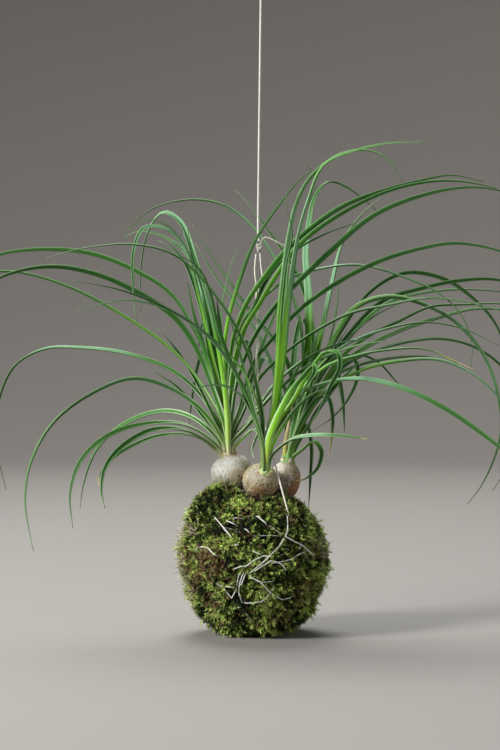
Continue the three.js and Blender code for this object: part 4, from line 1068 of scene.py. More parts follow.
def leaf_finish(name, settings, feet):
    """Satin strap leaf: pale foot, ribbed blade, dry tip; painted sky reflection, painted shade, painted
    highlights.
    """
    finish = Finish(name)
    across, along, age = (finish.attribute("blade", i) for i in range(3))
    dry, start, low = (finish.attribute("trait", i) for i in range(3))
    stretched = finish.node("ShaderNodeCombineXYZ", None, {0: across * 11, 1: along * 5, 2: start * 700})
    streak = finish.noise(1.0, 4, 0.6, stretched)
    blotch = finish.noise(22)
    # start is the share where the painted sky reflection begins; bluish is 1 on leaves that have it
    bluish = 1 - start.rise(1.2, 1.3)
    young = finish.ramp(along, [(0.08, settings.fresh), (0.3, settings.young), (0.6, (0.18, 0.58, 0.05)),
                                (1, (0.075, 0.31, 0.045))])
    old = finish.ramp(along, [(0.03, (0.1, 0.36, 0.025)), (0.16, (0.06, 0.25, 0.02)),
                              (0.34, settings.old), (1, (0.028, 0.13, 0.02))])
    aged = age + along.rise(0.4, 0.7) * (1 - bluish * 0.35) * 0.65
    colour = young.mix((aged + (streak - 0.5) * 0.1).rise(0.05, 0.85), old)
    ribs = (across * (2 * math.pi * 7)).sine() * 0.5 + 0.5
    fibres = ribs * 0.35 + streak * 0.65
    colour = colour.mix(fibres.rise(0.35, 0.75) * 0.18, (0.16, 0.36, 0.05))
    # half marks the side of the blade that is painted in shade
    half = (across + (streak - 0.5) * 0.1).rise(0.46, 0.54)
    # Painted reflection: a band of bluish sky sheen from where it starts, mostly on the half not painted
    # in shade
    sheen_band = (along - start).rise(0, 0.14) * (1 - (along - start).rise(0.24, 0.42))
    colour = colour.mix(sheen_band * (0.85 - half * age * 0.5) + (1 - half) * 0.05, settings.bloom)
    # Painted shade: that half of the blade takes the shaded green, more so on old leaves
    colour = colour.mix(half * (0.04 + age * 0.5), settings.cool)
    colour = colour.mix(blotch.rise(0.5, 0.7) * (0.08 + age * 0.2), settings.cool)
    # Painted highlights: light lines along both edges of the blade and down its middle, strongest near
    # the foot
    off_middle = (across - 0.5).size()
    near_foot = 1 - low.rise(0.3, 0.95)
    lines = (off_middle + near_foot * 0.05).rise(0.38, 0.47)
    lines = lines + (1 - off_middle.rise(0.02, 0.1)) * 0.5
    colour = colour.mix(lines * (near_foot * feet["lines"] + 0.26), (0.5, 0.68, 0.42))
    reach = feet["pale"] / 100
    pale = 1 - (low + (streak - 0.5) * 0.14 + off_middle * 0.08).rise(0.2 * reach, 1.2 * reach)
    colour = colour.mix(pale * 0.9, (0.62, 0.62, 0.4))
    maroon = low.rise(0.03, 0.1) * (1 - low.rise(0.18, 0.42))
    maroon = maroon * streak.rise(0.46, 0.58) * age.rise(0.3, 0.8)
    colour = colour.mix(maroon * feet["maroon"], (0.22, 0.06, 0.055))
    rust = (1 - low.rise(0.02, 0.08)) * finish.noise(500, 4, 0.7).rise(0.52, 0.58)
    colour = colour.mix(rust * feet["rust"], (0.5, 0.2, 0.06))
    dried = (along + dry - 1) / dry
    colour = colour.mix(dried.rise(-0.7, 0.2), (0.42, 0.42, 0.1))
    colour = colour.mix(dried.rise(0.1, 0.7), (0.62, 0.48, 0.3))
    rough = 0.46 + streak * 0.16 + dried.rise(0, 0.5) * 0.25
    return finish.surface(colour, rough, fibres, 0.00025, 0.6, Specular_IOR_Level=0.22)


# Bulbs

BULB_STEPS = 72


def add_bulb(bm, name, rng):
    """A bulb with its root plate and three stout roots, uneven as a grown one is."""
    bulb = BULBS[name]
    profile = Spline([(radius, 0, height) for radius, height in bulb["outline"]]).spaced(56)
    outline = [(max(0.0, point[0]) * MM, point[2] * MM) for point in profile]
    outline[0], outline[-1] = (0, outline[0][1]), (0, outline[-1][1])
    turned(bm, outline, BULB_STEPS)
    seed = int(rng.integers(1, 50))
    for vert in bm.verts:
        out = Vector((vert.co.x, vert.co.y, 0))
        turn = math.atan2(vert.co.y, vert.co.x)
        point = vert.co * 1000
        swell = 0.35 * noise.fractal(point * 0.09 + Vector((seed, 0, 0)), 1, 2, 2)
        folds = 0.12 * noise.noise(Vector((turn * 3, seed, point.z * 0.05)))
        fine = 0.1 * noise.fractal(point * 0.7, 1, 2, 3)
        height = float(smooth(point.z, -14, -4))
        vert.co += out.normalized() * (swell + (folds + fine) * height) * MM if out.length > 1e-6 else out
    bmesh.ops.transform(bm, matrix=lying_along(bulb["lean"], Vector(bulb["centre"]) * MM), verts=bm.verts)
    axis = unit(bulb["lean"])
    foot = np.array(bulb["centre"]) + axis * bulb["outline"][1][1] * 0.75
    for i in range(ROOTS):
        turn = i * 2 * math.pi / ROOTS + 0.6
        way = np.array([math.cos(turn), math.sin(turn), 0])
        path = [foot + way * out + (0, 0, up) for out, up in ROOT_PATH]
        laid_tube(bm, Spline(path).spaced(14) * MM, ROOT_RADIUS * MM * 0.9, 8)


def bulb_finish(bulb, pale, shade, patches, specks):
    """Thin bulb skin, streaked and speckled, with patches round points or places seen from the front."""
    finish = Finish("bulb skin " + bulb)
    x, y, z = finish.split(finish.coords())
    upright = finish.node("ShaderNodeCombineXYZ", None, {0: x * 1100, 1: y * 1100, 2: z * 160})
    streak = finish.noise(1.0, 5, 0.7, upright)
    cloud = finish.noise(130, 4, 0.6)
    grain = finish.noise(620, 4, 0.7)
    low = 1 - (z + (cloud - 0.5) * 0.012).rise(0.106, 0.122)
    colour = finish.mix(cloud.rise(0.4, 0.62), pale, shade)
    lightest, darkest = [min(0.9, 1.35 * part) for part in pale], [0.55 * part for part in shade]
    colour = colour.mix(streak.rise(0.5, 0.62) * 0.75, lightest)
    colour = colour.mix((1 - streak.rise(0.34, 0.48)) * 0.7, darkest)
    colour = colour.mix(grain.rise(0.52, 0.62) * 0.3, [0.6 * part for part in pale])
    colour = colour.mix(low * grain.rise(0.44, 0.54) * 0.75, [0.4 * part for part in shade])
    for place, reach, soft, patch, strength in patches:
        point = on_bulb(bulb, *place) if len(place) == 2 else place
        close = finish.near(np.array(point) * MM, reach * MM, soft * MM)
        mask = close * (grain * 0.8 + cloud * 0.4 + close * 0.3).rise(0.66, 0.94)
        colour = colour.mix(mask * strength, patch)
    freckles = (1 - finish.cells(640).rise(0.2, 0.42)) * grain.rise(0.4, 0.55)
    dots = (1 - finish.cells(430).rise(0.14, 0.34)) * grain.rise(0.42, 0.55)
    colour = colour.mix(freckles * (0.35 + low * 0.65) * specks, (0.09, 0.055, 0.028))
    colour = colour.mix(dots * (0.25 + low * 0.75) * specks, (0.035, 0.022, 0.012))
    cracks = 1 - finish.cells(190, feature="DISTANCE_TO_EDGE").rise(0.0, 0.05)
    cracks = cracks * low * cloud.rise(0.45, 0.6)
    colour = colour.mix(cracks * 0.6, (0.09, 0.055, 0.03))
    height = streak + grain * 0.9 + cloud * 0.5 - cracks * 0.8 - dots * 0.4
    rough = 0.38 + low * 0.3 + grain * 0.15
    return finish.surface(colour, rough, height, 0.0009, 0.8, Specular_IOR_Level=0.4)


# Moss

def moss_shoot(rng, length, levels, leaflet):
    """A shoot along +Z: a bent stem with leaflets on both sides, pointing up and out, in metres."""
    bm = bmesh.new()
    tip = bm.verts.layers.float.new("tip")
    bend = rng.uniform(-0.4, 0.4, 2)

    def spine(share):
        return Vector((bend[0] * share ** 2, bend[1] * share ** 2, share)) * length

    for vert in grid(bm, 1, 2):
        share = vert.co.y + 0.5
        vert.co = spine(share) + Vector((vert.co.x * 0.00045 * (1 - 0.6 * share), 0, 0))
        vert[tip] = share
    for level in range(levels):
        for opposite in (0, math.pi):
            share = 0.12 + 0.8 * (level + 0.5 * opposite / math.pi) / levels
            turn = opposite + 1.15 * level + rng.uniform(-0.4, 0.4)
            out = Vector((math.cos(turn), math.sin(turn), 0))
            way = (out * rng.uniform(0.6, 0.9) + Vector((0, 0, 0.75))).normalized()
            side = way.cross(Vector((0, 0, 1))).normalized()
            size = leaflet * (1.15 - 0.45 * share) * rng.uniform(0.85, 1.15)
            foot = spine(share)
            corners = {(-1, -1): foot, (1, -1): foot + way * size * 0.42 + side * size * 0.12,
                       (-1, 1): foot + way * size * 0.42 - side * size * 0.12,
                       (1, 1): foot + way * size + Vector((0, 0, size * 0.2))}
            for vert in grid(bm, 1, 1):
                corner = (1 if vert.co.x > 0 else -1, 1 if vert.co.y > 0 else -1)
                vert.co = corners[corner]
                vert[tip] = min(1, share + (0.35 if corner == (1, 1) else 0.1))
    return template(bm)


def turned_to(directions, spins, sizes):
    """Matrices that take +Z to directions, turned about them and scaled."""
    side = unit(np.cross(directions, (0.31, 0.17, 0.93)))
    up = np.cross(directions, side)
    cos, sin = np.cos(spins)[:, None], np.sin(spins)[:, None]
    x = side * cos + up * sin
    y = up * cos - side * sin
    return np.stack([x, y, directions], axis=2) * np.asarray(sizes)[:, None, None]


def hollow_depth(dirs):
    """How far the moss is worn into dark hollows in each direction, from 0 to 1."""
    depth = smooth(lumps(dirs, 3.4, 5, 3), 0.2, 0.55)
    for x, z, reach in HOLLOWS:
        away = np.arccos(np.clip(dirs @ front_direction(x, z), -1, 1)) + 0.06 * lumps(dirs, 14, 17, 2)
        depth = np.maximum(depth, 1 - smooth(away, 0.35 * reach, reach))
    return depth


def moss_places(count, rng):
    """Feet and directions of shoots spread over the ball, clear of its open top."""
    dirs = unit(ball_directions(count) + rng.normal(0, 0.012, (count, 3)))
    swell = lumps(dirs, 6, 2, 3)
    radius = moss_radius(dirs) + 1.1 * swell
    surface = dirs * radius[:, None]
    surface[:, 2] += BALL_Z
    keep = in_mouth(surface) + 0.22 * lumps(dirs, 15, 9, 2) < MOUTH_RIM
    keep &= rng.random(count) > 0.88 * hollow_depth(dirs)
    keep &= surface[:, 2] > 1.5
    dirs, swell, surface = dirs[keep], swell[keep], surface[keep]
    across = unit(np.cross(dirs, rng.normal(0, 1, (len(dirs), 3))))
    lean = across * rng.uniform(0.3, 1.25, len(dirs))[:, None]
    comb = np.array([0, 0, -0.28]) * (dirs[:, 2] < 0.5)[:, None]
    ways = unit(dirs + lean + comb)
    feet = surface - dirs * 1.9
    return dirs, swell, feet, ways


def moss_finish(name, low, middle, high):
    """Thin moist leaflets, paler at the tip of a shoot, with painted shade that darkens its foot."""
    finish = Finish(name)
    tint, tip = finish.attribute("tone", 0), finish.attribute("tone", 1)
    mottle = finish.noise(260, 3, 0.6)
    shade = tint * 0.65 + mottle * 0.35 + tip * 0.4 - 0.2
    colour = finish.ramp(shade, [(0.1, low), (0.5, middle), (0.98, high)])
    # Painted shade: the foot of each shoot darkens to near black, as if shaded by the shoots round it
    colour = colour.mix((1 - tip.rise(0.2, 0.8)) * 0.96, (0.004, 0.004, 0.0015))
    return finish.surface(colour, 0.55, None, Specular_IOR_Level=0.3)


def on_bulb(name, x, z):
    """Roughly the point of a bulb's front at x and z."""
    bulb = BULBS[name]
    centre, radius = bulb["centre"], bulb["outline"][6][0]
    deep = radius ** 2 - (x - centre[0]) ** 2 - (z - centre[2]) ** 2
    return x, centre[1] - math.sqrt(max(0, deep)), z


def set_bulbs(settings):
    """The three bulbs, each with the skin that it has in the photograph."""
    rng = np.random.default_rng(SEED + 2)
    pale, tan, lilac = settings.pale, settings.tan, settings.lilac
    rust, dark, green = (0.36, 0.15, 0.045), (0.03, 0.018, 0.01), (0.33, 0.4, 0.12)
    skins = {
        "left": (settings.white, (0.5, 0.49, 0.38), [
            ((-12, 115), 6, 5, (0.42, 0.36, 0.22), 0.9), ((-10.5, 116), 2, 2, rust, 0.35),
            ((-11.2, 117.6), 0.5, 1.8, dark, 0.95), ((-9.6, 116.2), 0.5, 1.4, dark, 0.95),
            ((-24, 110), 6, 4, (0.36, 0.33, 0.2), 0.7), ((-16, 0.5, 132), 3, 3, rust, 0.4),
            ((-22.5, 1, 132), 2, 3, rust, 0.3), ((-13, 3, 131), 3, 3, (0.4, 0.28, 0.16), 0.6),
            ((-6, 126), 3, 5, (0.4, 0.36, 0.25), 0.6)], 0.9),
        "front": (pale, (0.38, 0.3, 0.17), [
            ((-1, 120), 4, 5, lilac, 0.75), ((8, 106), 7, 5, tan, 0.6), ((3, 121), 0.8, 2, rust, 0.6),
            ((8, -24, 122), 3.6, 2.4, green, 0.75), ((3, 104), 6, 4, (0.36, 0.2, 0.08), 0.7)], 1.45),
        "right": (lilac, (0.34, 0.26, 0.16), [
            ((31, 108), 5, 6, (0.34, 0.14, 0.04), 0.9), ((33, 118), 4, 5, tan, 0.8),
            ((16, 121), 6, 5, (0.62, 0.59, 0.53), 0.9), ((34, 112), 3, 8, (0.42, 0.2, 0.07), 0.8),
            ((25, 127), 4, 3, green, 0.6)], 1.35),
    }
    for name, (first, second, patches, specks) in skins.items():
        bm = bmesh.new()
        add_bulb(bm, name, rng)
        finish = bulb_finish(name, first, second, patches, specks)
        finished("bulb_skin_" + name, bm, finish, ["bulb_" + name])
    add_scraps()


def set_leaves(settings):
    """The blades of each plant as one piece."""
    rng = np.random.default_rng(SEED + 3)
    grown = grow_leaves()
    for plant in LEAVES:
        bm = bmesh.new()
        layers = [bm.verts.layers.float_color.new(name) for name in ("blade", "trait")]
        add_sheath(bm, plant, layers)
        for leaf in (leaf for leaf in grown if leaf["plant"] == plant):
            leaf["dry"] = leaf["dry"] or rng.uniform(0.0003, 0.0012)
            add_blade(bm, leaf, settings.channel, layers, rng)
        finish = leaf_finish("leaf " + plant, settings, FEET[plant])
        blades = finished("blades_" + plant, bm, finish, ["leaves_" + plant])
        thicken(blades, settings.thickness)


def add_sheath(bm, plant, layers):
    """The sleeve of clasping leaf bases round the feet of a plant's leaves."""
    foot, lean, side, back = crown_ways(plant)
    profile, age = FEET[plant]["sheath"], FEET[plant]["age"]
    top, rows = profile[-1][1], len(profile) - 1
    made = grid(bm, SHEATH_STEPS, rows)
    for vert in made:
        turn = 2 * math.pi * (vert.co.x + 0.5)
        radius, height = profile[round((vert.co.y + 0.5) * rows)]
        lobe = math.sin(SHEATH_RIBS * turn)
        radius += 0.2 * lobe
        height -= max(0, height) * 0.4 * (0.5 + 0.5 * lobe) * height / top
        point = foot + lean * height + (side * math.cos(turn) + back * math.sin(turn)) * radius
        vert.co = Vector(point * MM)
        # across swings with the ribs, so the painted shade and highlight lines of the leaf finish stripe
        # the sheath rib by rib
        vert[layers[0]] = (0.5 + 0.5 * math.sin(SHEATH_RIBS * turn + 1), 0.02, age, 1)
        vert[layers[1]] = (0.0005, NO_SHEEN, (height + FOOT_DEPTH) / 100, 1)
    bmesh.ops.remove_doubles(bm, verts=made, dist=0.000001)


def add_scrap(bm, foot, ways, wide, tall, curl, jag):
    """A torn flap of dry skin that stands at its foot and curls outwards."""
    lean, out, around = ways
    for vert in grid(bm, len(jag) - 1, 3):
        across, height = 2 * vert.co.x, vert.co.y + 0.5
        column = round((vert.co.x + 0.5) * (len(jag) - 1))
        aside = across * wide / 2 * (1 - 0.3 * height)
        point = foot + around * aside + lean * (tall * height * jag[column])
        vert.co = Vector((point + out * (curl * height ** 2 - 0.12 * wide * across ** 2)) * MM)


def add_scraps():
    """Torn scraps of old skin round the foot of each plant's leaves."""
    rng = np.random.default_rng(SEED + 4)
    bm = bmesh.new()
    for plant, count in SCRAPS.items():
        crown, lean, side, back = crown_ways(plant)
        ring = max(FEET[plant]["sheath"][2][0], FEET[plant]["ring"] + 1.5)
        for i in range(count):
            turn = 2.4 * i + rng.uniform(-0.3, 0.3)
            out = side * math.cos(turn) + back * math.sin(turn)
            low = rng.uniform(-1.6, 1.4)
            foot = crown - lean * low + out * (ring + rng.uniform(0.1, 0.7) + max(0, low) * 0.7)
            ways = lean, out, np.cross(lean, out)
            add_scrap(bm, foot, ways, rng.uniform(1.2, 3.6), rng.uniform(1.8, 5.4), rng.uniform(-0.8, 1),
                      rng.uniform(0.25, 1, 6))
    finish = Finish("papery scraps")
    grain, cloud = finish.noise(1300, 4, 0.7), finish.noise(420, 3, 0.6)
    colour = finish.ramp(cloud, [(0.36, (0.42, 0.15, 0.05)), (0.42, (0.6, 0.4, 0.23)),
                                 (0.47, (0.8, 0.74, 0.62))])
    colour = colour.mix(grain.rise(0.45, 0.7) * 0.3, (0.3, 0.13, 0.05))
    scraps = finished("neck_scraps", bm, finish.surface(colour, 0.6, grain, 0.0003, 0.6))
    thicken(scraps, 0.0002)


def needle(length, width, bow):
    """A thin bent straw along +Z, in metres."""
    bm = bmesh.new()
    tip = bm.verts.layers.float.new("tip")
    for vert in grid(bm, 2, 4):
        share, across = vert.co.y + 0.5, vert.co.x
        wide = width * (1 - 0.6 * share)
        bowed = bow * share ** 2 * length + abs(across) * wide * 0.8
        vert.co = Vector((across * wide, bowed, share * length))
        vert[tip] = share
    return template(bm)


def crumb(rng, flatness):
    """A small uneven grain of radius 1."""
    bm = bmesh.new()
    tip = bm.verts.layers.float.new("tip")
    for vert in bmesh.ops.create_icosphere(bm, subdivisions=1, radius=1)["verts"]:
        vert.co *= rng.uniform(0.65, 1.15)
        vert.co.z *= flatness
        vert[tip] = rng.random()
    return template(bm)


SHOOTS = ((0.0036, 0.0022), (0.0044, 0.0026), (0.0052, 0.0023), (0.0040, 0.0031))


def grow_moss(settings):
    """The mat, the shoots in three tints, and the odd sprigs and straws that stand proud."""
    rng = np.random.default_rng(SEED)
    green = moss_finish("living moss", (0.012, 0.022, 0.003), settings.leafy, settings.tips)
    # The shaded moss is a darker copy of the living moss, painted shade
    dark = moss_finish("shaded moss", (0.006, 0.012, 0.003), settings.shaded, settings.leafy)
    dry = moss_finish("dry moss", (0.04, 0.024, 0.012), settings.dry, (0.42, 0.32, 0.17))
    add_moss_mat(mat_finish())
    shapes = [moss_shoot(rng, length, 5, leaflet) for length, leaflet in SHOOTS]
    dirs, swell, feet, ways = moss_places(int(settings.shoots * (1)), rng)
    count = len(ways)
    turns = turned_to(ways, rng.uniform(0, 2 * math.pi, count), rng.uniform(0.75, 1.25, count))
    choice = rng.integers(0, len(shapes), count)
    tints = np.clip(0.5 + 0.35 * swell + 0.45 * lumps(dirs, 3, 7, 3) + rng.normal(0, 0.18, count), 0, 1)
    feet += dirs * (1.6 * smooth(lumps(dirs, 8, 31, 2), 0, 0.4))[:, None]
    dried = rng.random(count) < brown_share(dirs)
    # Shoots with low tints, lower in the moss's lumps or in random darker patches, take the shaded copy:
    # partly painted shade, partly tone
    bright = tints + rng.normal(0, 0.1, count) > 0.5
    group = np.where(dried, 2, np.where(bright, 0, 1))
    tinted = (("moss_bright", green), ("moss_shaded", dark), ("moss_dry", dry))
    for which, (name, finish) in enumerate(tinted):
        use = group == which
        scattered(name, shapes, choice[use], turns[use], feet[use] * MM, tints[use], finish)
    add_collar(rng, green)
    add_sprigs(rng, green)
    add_straws(rng)


def strewn(name, shapes, feet, ways, sizes, tints, finish, rng):
    """Moss pieces at their feet, turned to their ways, with sizes and tints drawn between two ends."""
    count = len(ways)
    turns = turned_to(ways, rng.uniform(0, 6, count), rng.uniform(*sizes, count))
    choice = rng.integers(0, len(shapes), count)
    scattered(name, shapes, choice, turns, feet * MM, rng.uniform(*tints, count), finish)


def add_collar(rng, finish):
    """Tufts that close in on the bulbs where the moss reaches up to them."""
    shapes = [moss_shoot(rng, 0.0062, 6, 0.0024), moss_shoot(rng, 0.0052, 6, 0.0021)]
    feet, ways = [], []
    for x, y, z, spread in COLLAR:
        for dx, dy in rng.normal(0, spread, (int(26 * spread), 2)):
            way = unit((x + dx, y + dy, z - BALL_Z))
            feet.append(way * (soil_radius(way[None])[0] - 0.6) + (0, 0, BALL_Z))
            ways.append(unit(way + (0, -0.15, 0.3) + rng.normal(0, 0.35, 3)))
    strewn("moss_collar", shapes, np.array(feet), np.array(ways), (0.7, 1.15), (0.2, 0.9), finish, rng)


def brown_share(dirs):
    """How likely a shoot is to be dry and brown in each direction."""
    share = 0.07 + 0.25 * smooth(lumps(dirs, 4.5, 13, 3), 0.2, 0.55)
    for x, z, reach, strength in BROWN_PATCHES:
        close = 1 - smooth(dirs @ front_direction(x, z), 1, math.cos(reach))
        share = np.maximum(share, strength * close)
    return share


def add_moss_mat(finish):
    """The felted mat that the shoots stand on, open at the top round the bulbs."""
    bm = bmesh.new()
    bmesh.ops.create_icosphere(bm, subdivisions=6, radius=1)
    dirs = unit([vert.co[:] for vert in bm.verts])
    radius = moss_radius(dirs) - 2.1 + 0.9 * lumps(dirs, 6, 2, 3) + 0.5 * lumps(dirs, 26, 3, 2)
    radius -= 2.2 * hollow_depth(dirs)
    points = dirs * radius[:, None]
    points[:, 2] = np.maximum(points[:, 2] + BALL_Z, 0.4)
    for vert, point in zip(bm.verts, points):
        vert.co = Vector(point * MM)
    depth = in_mouth(points) + 0.12 * lumps(dirs, 20, 9, 2)
    bm.verts.index_update()
    inside = [face for face in bm.faces if min(depth[v.index] for v in face.verts) > MOUTH_RIM]
    bmesh.ops.delete(bm, geom=inside, context="FACES")
    thicken(finished("moss_mat", bm, finish, ["moss_cover"]), 0.0015, -1)


def mat_finish():
    finish = Finish("moss felt")
    grain = finish.noise(700, 4, 0.7)
    patches = finish.noise(60, 3, 0.6)
    # Near black: the felt's own dark brown, darkened further as painted shade in the gaps between the
    # shoots
    colour = finish.ramp(grain, [(0.3, (0.003, 0.003, 0.001)), (0.6, (0.01, 0.01, 0.003)),
                                 (0.8, (0.04, 0.024, 0.01))])
    colour = colour.mix(patches.rise(0.36, 0.6) * 0.5, (0.016, 0.009, 0.004))
    return finish.surface(colour, 0.85, grain, 0.0015, 0.9)


def add_sprigs(rng, finish):
    """Longer shoots that stand out from the outline where the real ball has them."""
    shapes = [moss_shoot(rng, 0.0085, 8, 0.0032), moss_shoot(rng, 0.011, 10, 0.0028)]
    feet, ways = [], []
    for x, z in SPRIGS:
        centre = front_direction(x, z)
        for _ in range(6):
            way = unit(centre + rng.normal(0, 0.06, 3))
            radius = moss_radius(way[None])[0] - 1.2
            feet.append(way * radius + (0, 0, BALL_Z))
            ways.append(unit(way + rng.normal(0, 0.3, 3)))
    loose = unit(ball_directions(420) + rng.normal(0, 0.05, (420, 3)))
    loose_feet = loose * (moss_radius(loose) - 1.4)[:, None] + (0, 0, BALL_Z)
    keep = (in_mouth(loose_feet) < 0) & (loose_feet[:, 2] > 9)
    feet = np.concatenate([feet, loose_feet[keep]])
    ways = np.concatenate([ways, unit(loose[keep] + rng.normal(0, 0.55, (keep.sum(), 3)))])
    strewn("moss_sprigs", shapes, feet, ways, (0.6, 1.0), (0.4, 0.95), finish, rng)


def add_straws(rng):
    """Dead brown stems and rust-coloured flakes caught in the moss."""
    stems = [needle(0.008, 0.0007, 0.3), needle(0.006, 0.0009, -0.2), needle(0.011, 0.0006, 0.15),
             needle(0.006, 0.0013, 0.4)]
    dirs = unit(ball_directions(900) + rng.normal(0, 0.06, (900, 3)))
    feet = dirs * (moss_radius(dirs) + rng.uniform(-0.5, 1.6, 900))[:, None] + (0, 0, BALL_Z)
    keep = (in_mouth(feet) < 0.02) & (feet[:, 2] > 6) & (rng.random(900) < 0.25 + brown_share(dirs))
    ways = unit(np.cross(dirs, rng.normal(0, 1, dirs.shape)) + 0.22 * dirs)[keep]
    turns = turned_to(ways, rng.uniform(0, 6, len(ways)), rng.uniform(0.5, 1.0, len(ways)))
    feet, tints = feet[keep], rng.uniform(0.1, 0.6, len(ways))
    for x, z in WISPS:
        pale = unit(front_direction(x, z) + rng.normal(0, 0.06, (WISP_COUNT, 3)))
        feet = np.concatenate([feet, pale * (moss_radius(pale) + 1.4)[:, None] + (0, 0, BALL_Z)])
        way = unit(pale + (0, 0, 0.3) + rng.normal(0, 0.55, pale.shape))
        sizes = rng.uniform(0.5, 0.95, WISP_COUNT)
        turns = np.concatenate([turns, turned_to(way, rng.uniform(0, 6, WISP_COUNT), sizes)])
        tints = np.concatenate([tints, rng.uniform(0.95, 1.15, WISP_COUNT)])
    kinds = np.concatenate([rng.integers(0, 3, len(ways)), rng.integers(2, 4, len(tints) - len(ways))])
    finish = litter_finish("dead stems", [(0.1, (0.06, 0.03, 0.014)), (0.45, (0.24, 0.12, 0.045)),
                                          (0.7, (0.4, 0.28, 0.13)), (1, (0.82, 0.74, 0.56))])
    scattered("moss_straws", stems, kinds, turns, feet * MM, tints, finish)
    flakes = [crumb(rng, 0.25) for _ in range(3)]
    spots = [(x + rng.normal(0, 1.2), z + rng.normal(0, 1.2)) for x, z in FLAKES for _ in range(4)]
    dirs = np.array([front_direction(x, z) for x, z in spots])
    extra = unit(ball_directions(260) + rng.normal(0, 0.1, (260, 3)))
    dirs = np.concatenate([dirs, extra])
    feet = dirs * (moss_radius(dirs) + 1.2)[:, None] + (0, 0, BALL_Z)
    keep = (in_mouth(feet) < 0.1) & (feet[:, 2] > 5)
    dirs, feet = dirs[keep], feet[keep]
    finish = litter_finish("rusty flakes", [(0.1, (0.08, 0.03, 0.014)), (0.5, (0.32, 0.1, 0.03)),
                                            (0.8, (0.5, 0.2, 0.07)), (1, (0.6, 0.44, 0.27))])
    ways = unit(dirs + rng.normal(0, 0.5, dirs.shape))
    strewn("moss_flakes", flakes, feet, ways, (0.0004, 0.0012), (0.2, 1), finish, rng)


def litter_finish(name, stops):
    """Dry litter in the moss, from its darkest bits to its palest."""
    finish = Finish(name)
    tint, tip = finish.attribute("tone", 0), finish.attribute("tone", 1)
    colour = finish.ramp(tint * 0.85 + tip * 0.15, stops)
    colour = colour.mix(finish.noise(900) * 0.4, (0.08, 0.04, 0.02))
    return finish.surface(colour, 0.7, None)


# Soil

CRUMBS = 2600


def add_soil(settings):
    """The packed soil, its crumbs where the ball is open, and the fine white roots."""
    rng = np.random.default_rng(SEED + 1)
    finish = soil_finish(settings.earth)
    bm = bmesh.new()
    bmesh.ops.create_icosphere(bm, subdivisions=6, radius=1)
    dirs = unit([vert.co[:] for vert in bm.verts])
    radius = soil_radius(dirs) + 0.5 * lumps(dirs, 9, 21, 3) + 0.35 * lumps(dirs, 40, 22, 2)
    for vert, point in zip(bm.verts, dirs * radius[:, None] + (0, 0, BALL_Z)):
        vert.co = Vector(point * MM)
    finished("soil_ball", bm, finish, ["soil_core"])
    flat = [rng.uniform(-0.62, 0.7, CRUMBS), rng.uniform(-0.66, 0.5, CRUMBS)]
    around = unit(np.stack([*flat, np.ones(CRUMBS)], axis=1))
    height = soil_radius(around) + rng.uniform(-0.2, 0.9, CRUMBS)
    feet = around * height[:, None] + (0, 0, BALL_Z)
    keep = in_mouth(feet, 1.12) > 0
    around, feet = around[keep], feet[keep]
    count = len(around)
    turns = turned_to(unit(around + rng.normal(0, 0.6, around.shape)), rng.uniform(0, 6, count),
                      rng.gamma(2.2, 0.00034, count) + 0.00025)
    grains = [crumb(rng, 0.8) for _ in range(4)]
    choice = rng.integers(0, len(grains), count)
    scattered("soil_crumbs", grains, choice, turns, feet * MM, rng.random(count), finish)
    bm = bmesh.new()
    for start, end, drop in FINE_ROOTS:
        start, end = np.array(start, float), np.array(end, float)
        middle = (start + end) / 2 + (0, -1.5, drop)
        laid_tube(bm, Spline([start, middle, end]).spaced(16) * MM, rng.uniform(0.00022, 0.0004), 6)
    roots = Finish("white roots")
    shade = roots.mix(roots.noise(400).rise(0.35, 0.65), (0.72, 0.66, 0.54), (0.45, 0.36, 0.24))
    finished("fine_roots", bm, roots.surface(shade, 0.5, roots.noise(900), 0.0002, 0.5))


def soil_finish(earth):
    finish = Finish("damp soil")
    grain, cloud = finish.noise(900, 5, 0.7), finish.noise(150, 3, 0.6)
    colour = finish.mix(grain.rise(0.35, 0.7), earth, [3.2 * part for part in earth])
    colour = colour.mix(cloud.rise(0.5, 0.7) * 0.5, (0.035, 0.02, 0.01))
    return finish.surface(colour, 0.8, grain, 0.001, 0.8)


# Thread and string

def yarn_finish(name, colour, shade):
    """Soft white yarn, flecked with a darker tone as painted shade for its hollows, and darker where it
    is soiled.
    """
    finish = Finish(name)
    fuzz = finish.noise(1600, 4, 0.7)
    soil = finish.noise(70, 3, 0.6).rise(0.5, 0.72)
    tone = finish.mix(fuzz.rise(0.3, 0.7), shade, colour)
    tone = tone.mix(soil * 0.25, [0.55 * part for part in shade])
    return finish.surface(tone, 0.75, fuzz, 0.0002, 0.6, Sheen_Weight=0.25)


def wound(directions, steps, height, sag, closed=False):
    """A route in metres over the moss through directions, rising and sinking as moss yields."""
    way = Spline(directions, closed).spaced(steps, 4 * steps)
    dirs = unit(way)
    radius = moss_radius(dirs) + height + sag * lumps(dirs, 7, 4, 2)
    route = dirs * radius[:, None] + (0, 0, BALL_Z)
    route[:, 2] = np.maximum(route[:, 2], 1)
    return route * MM


def pulled_straight(marks):
    """Marks with more set close to each, so that thread runs straight between them."""
    marks = np.array(marks, float)
    ends = [marks[i] * (1 - share) + marks[i + 1] * share
            for i in range(len(marks) - 1) for share in (0, 0.1, 0.9)]
    return unit(np.array([*ends, marks[-1]]))


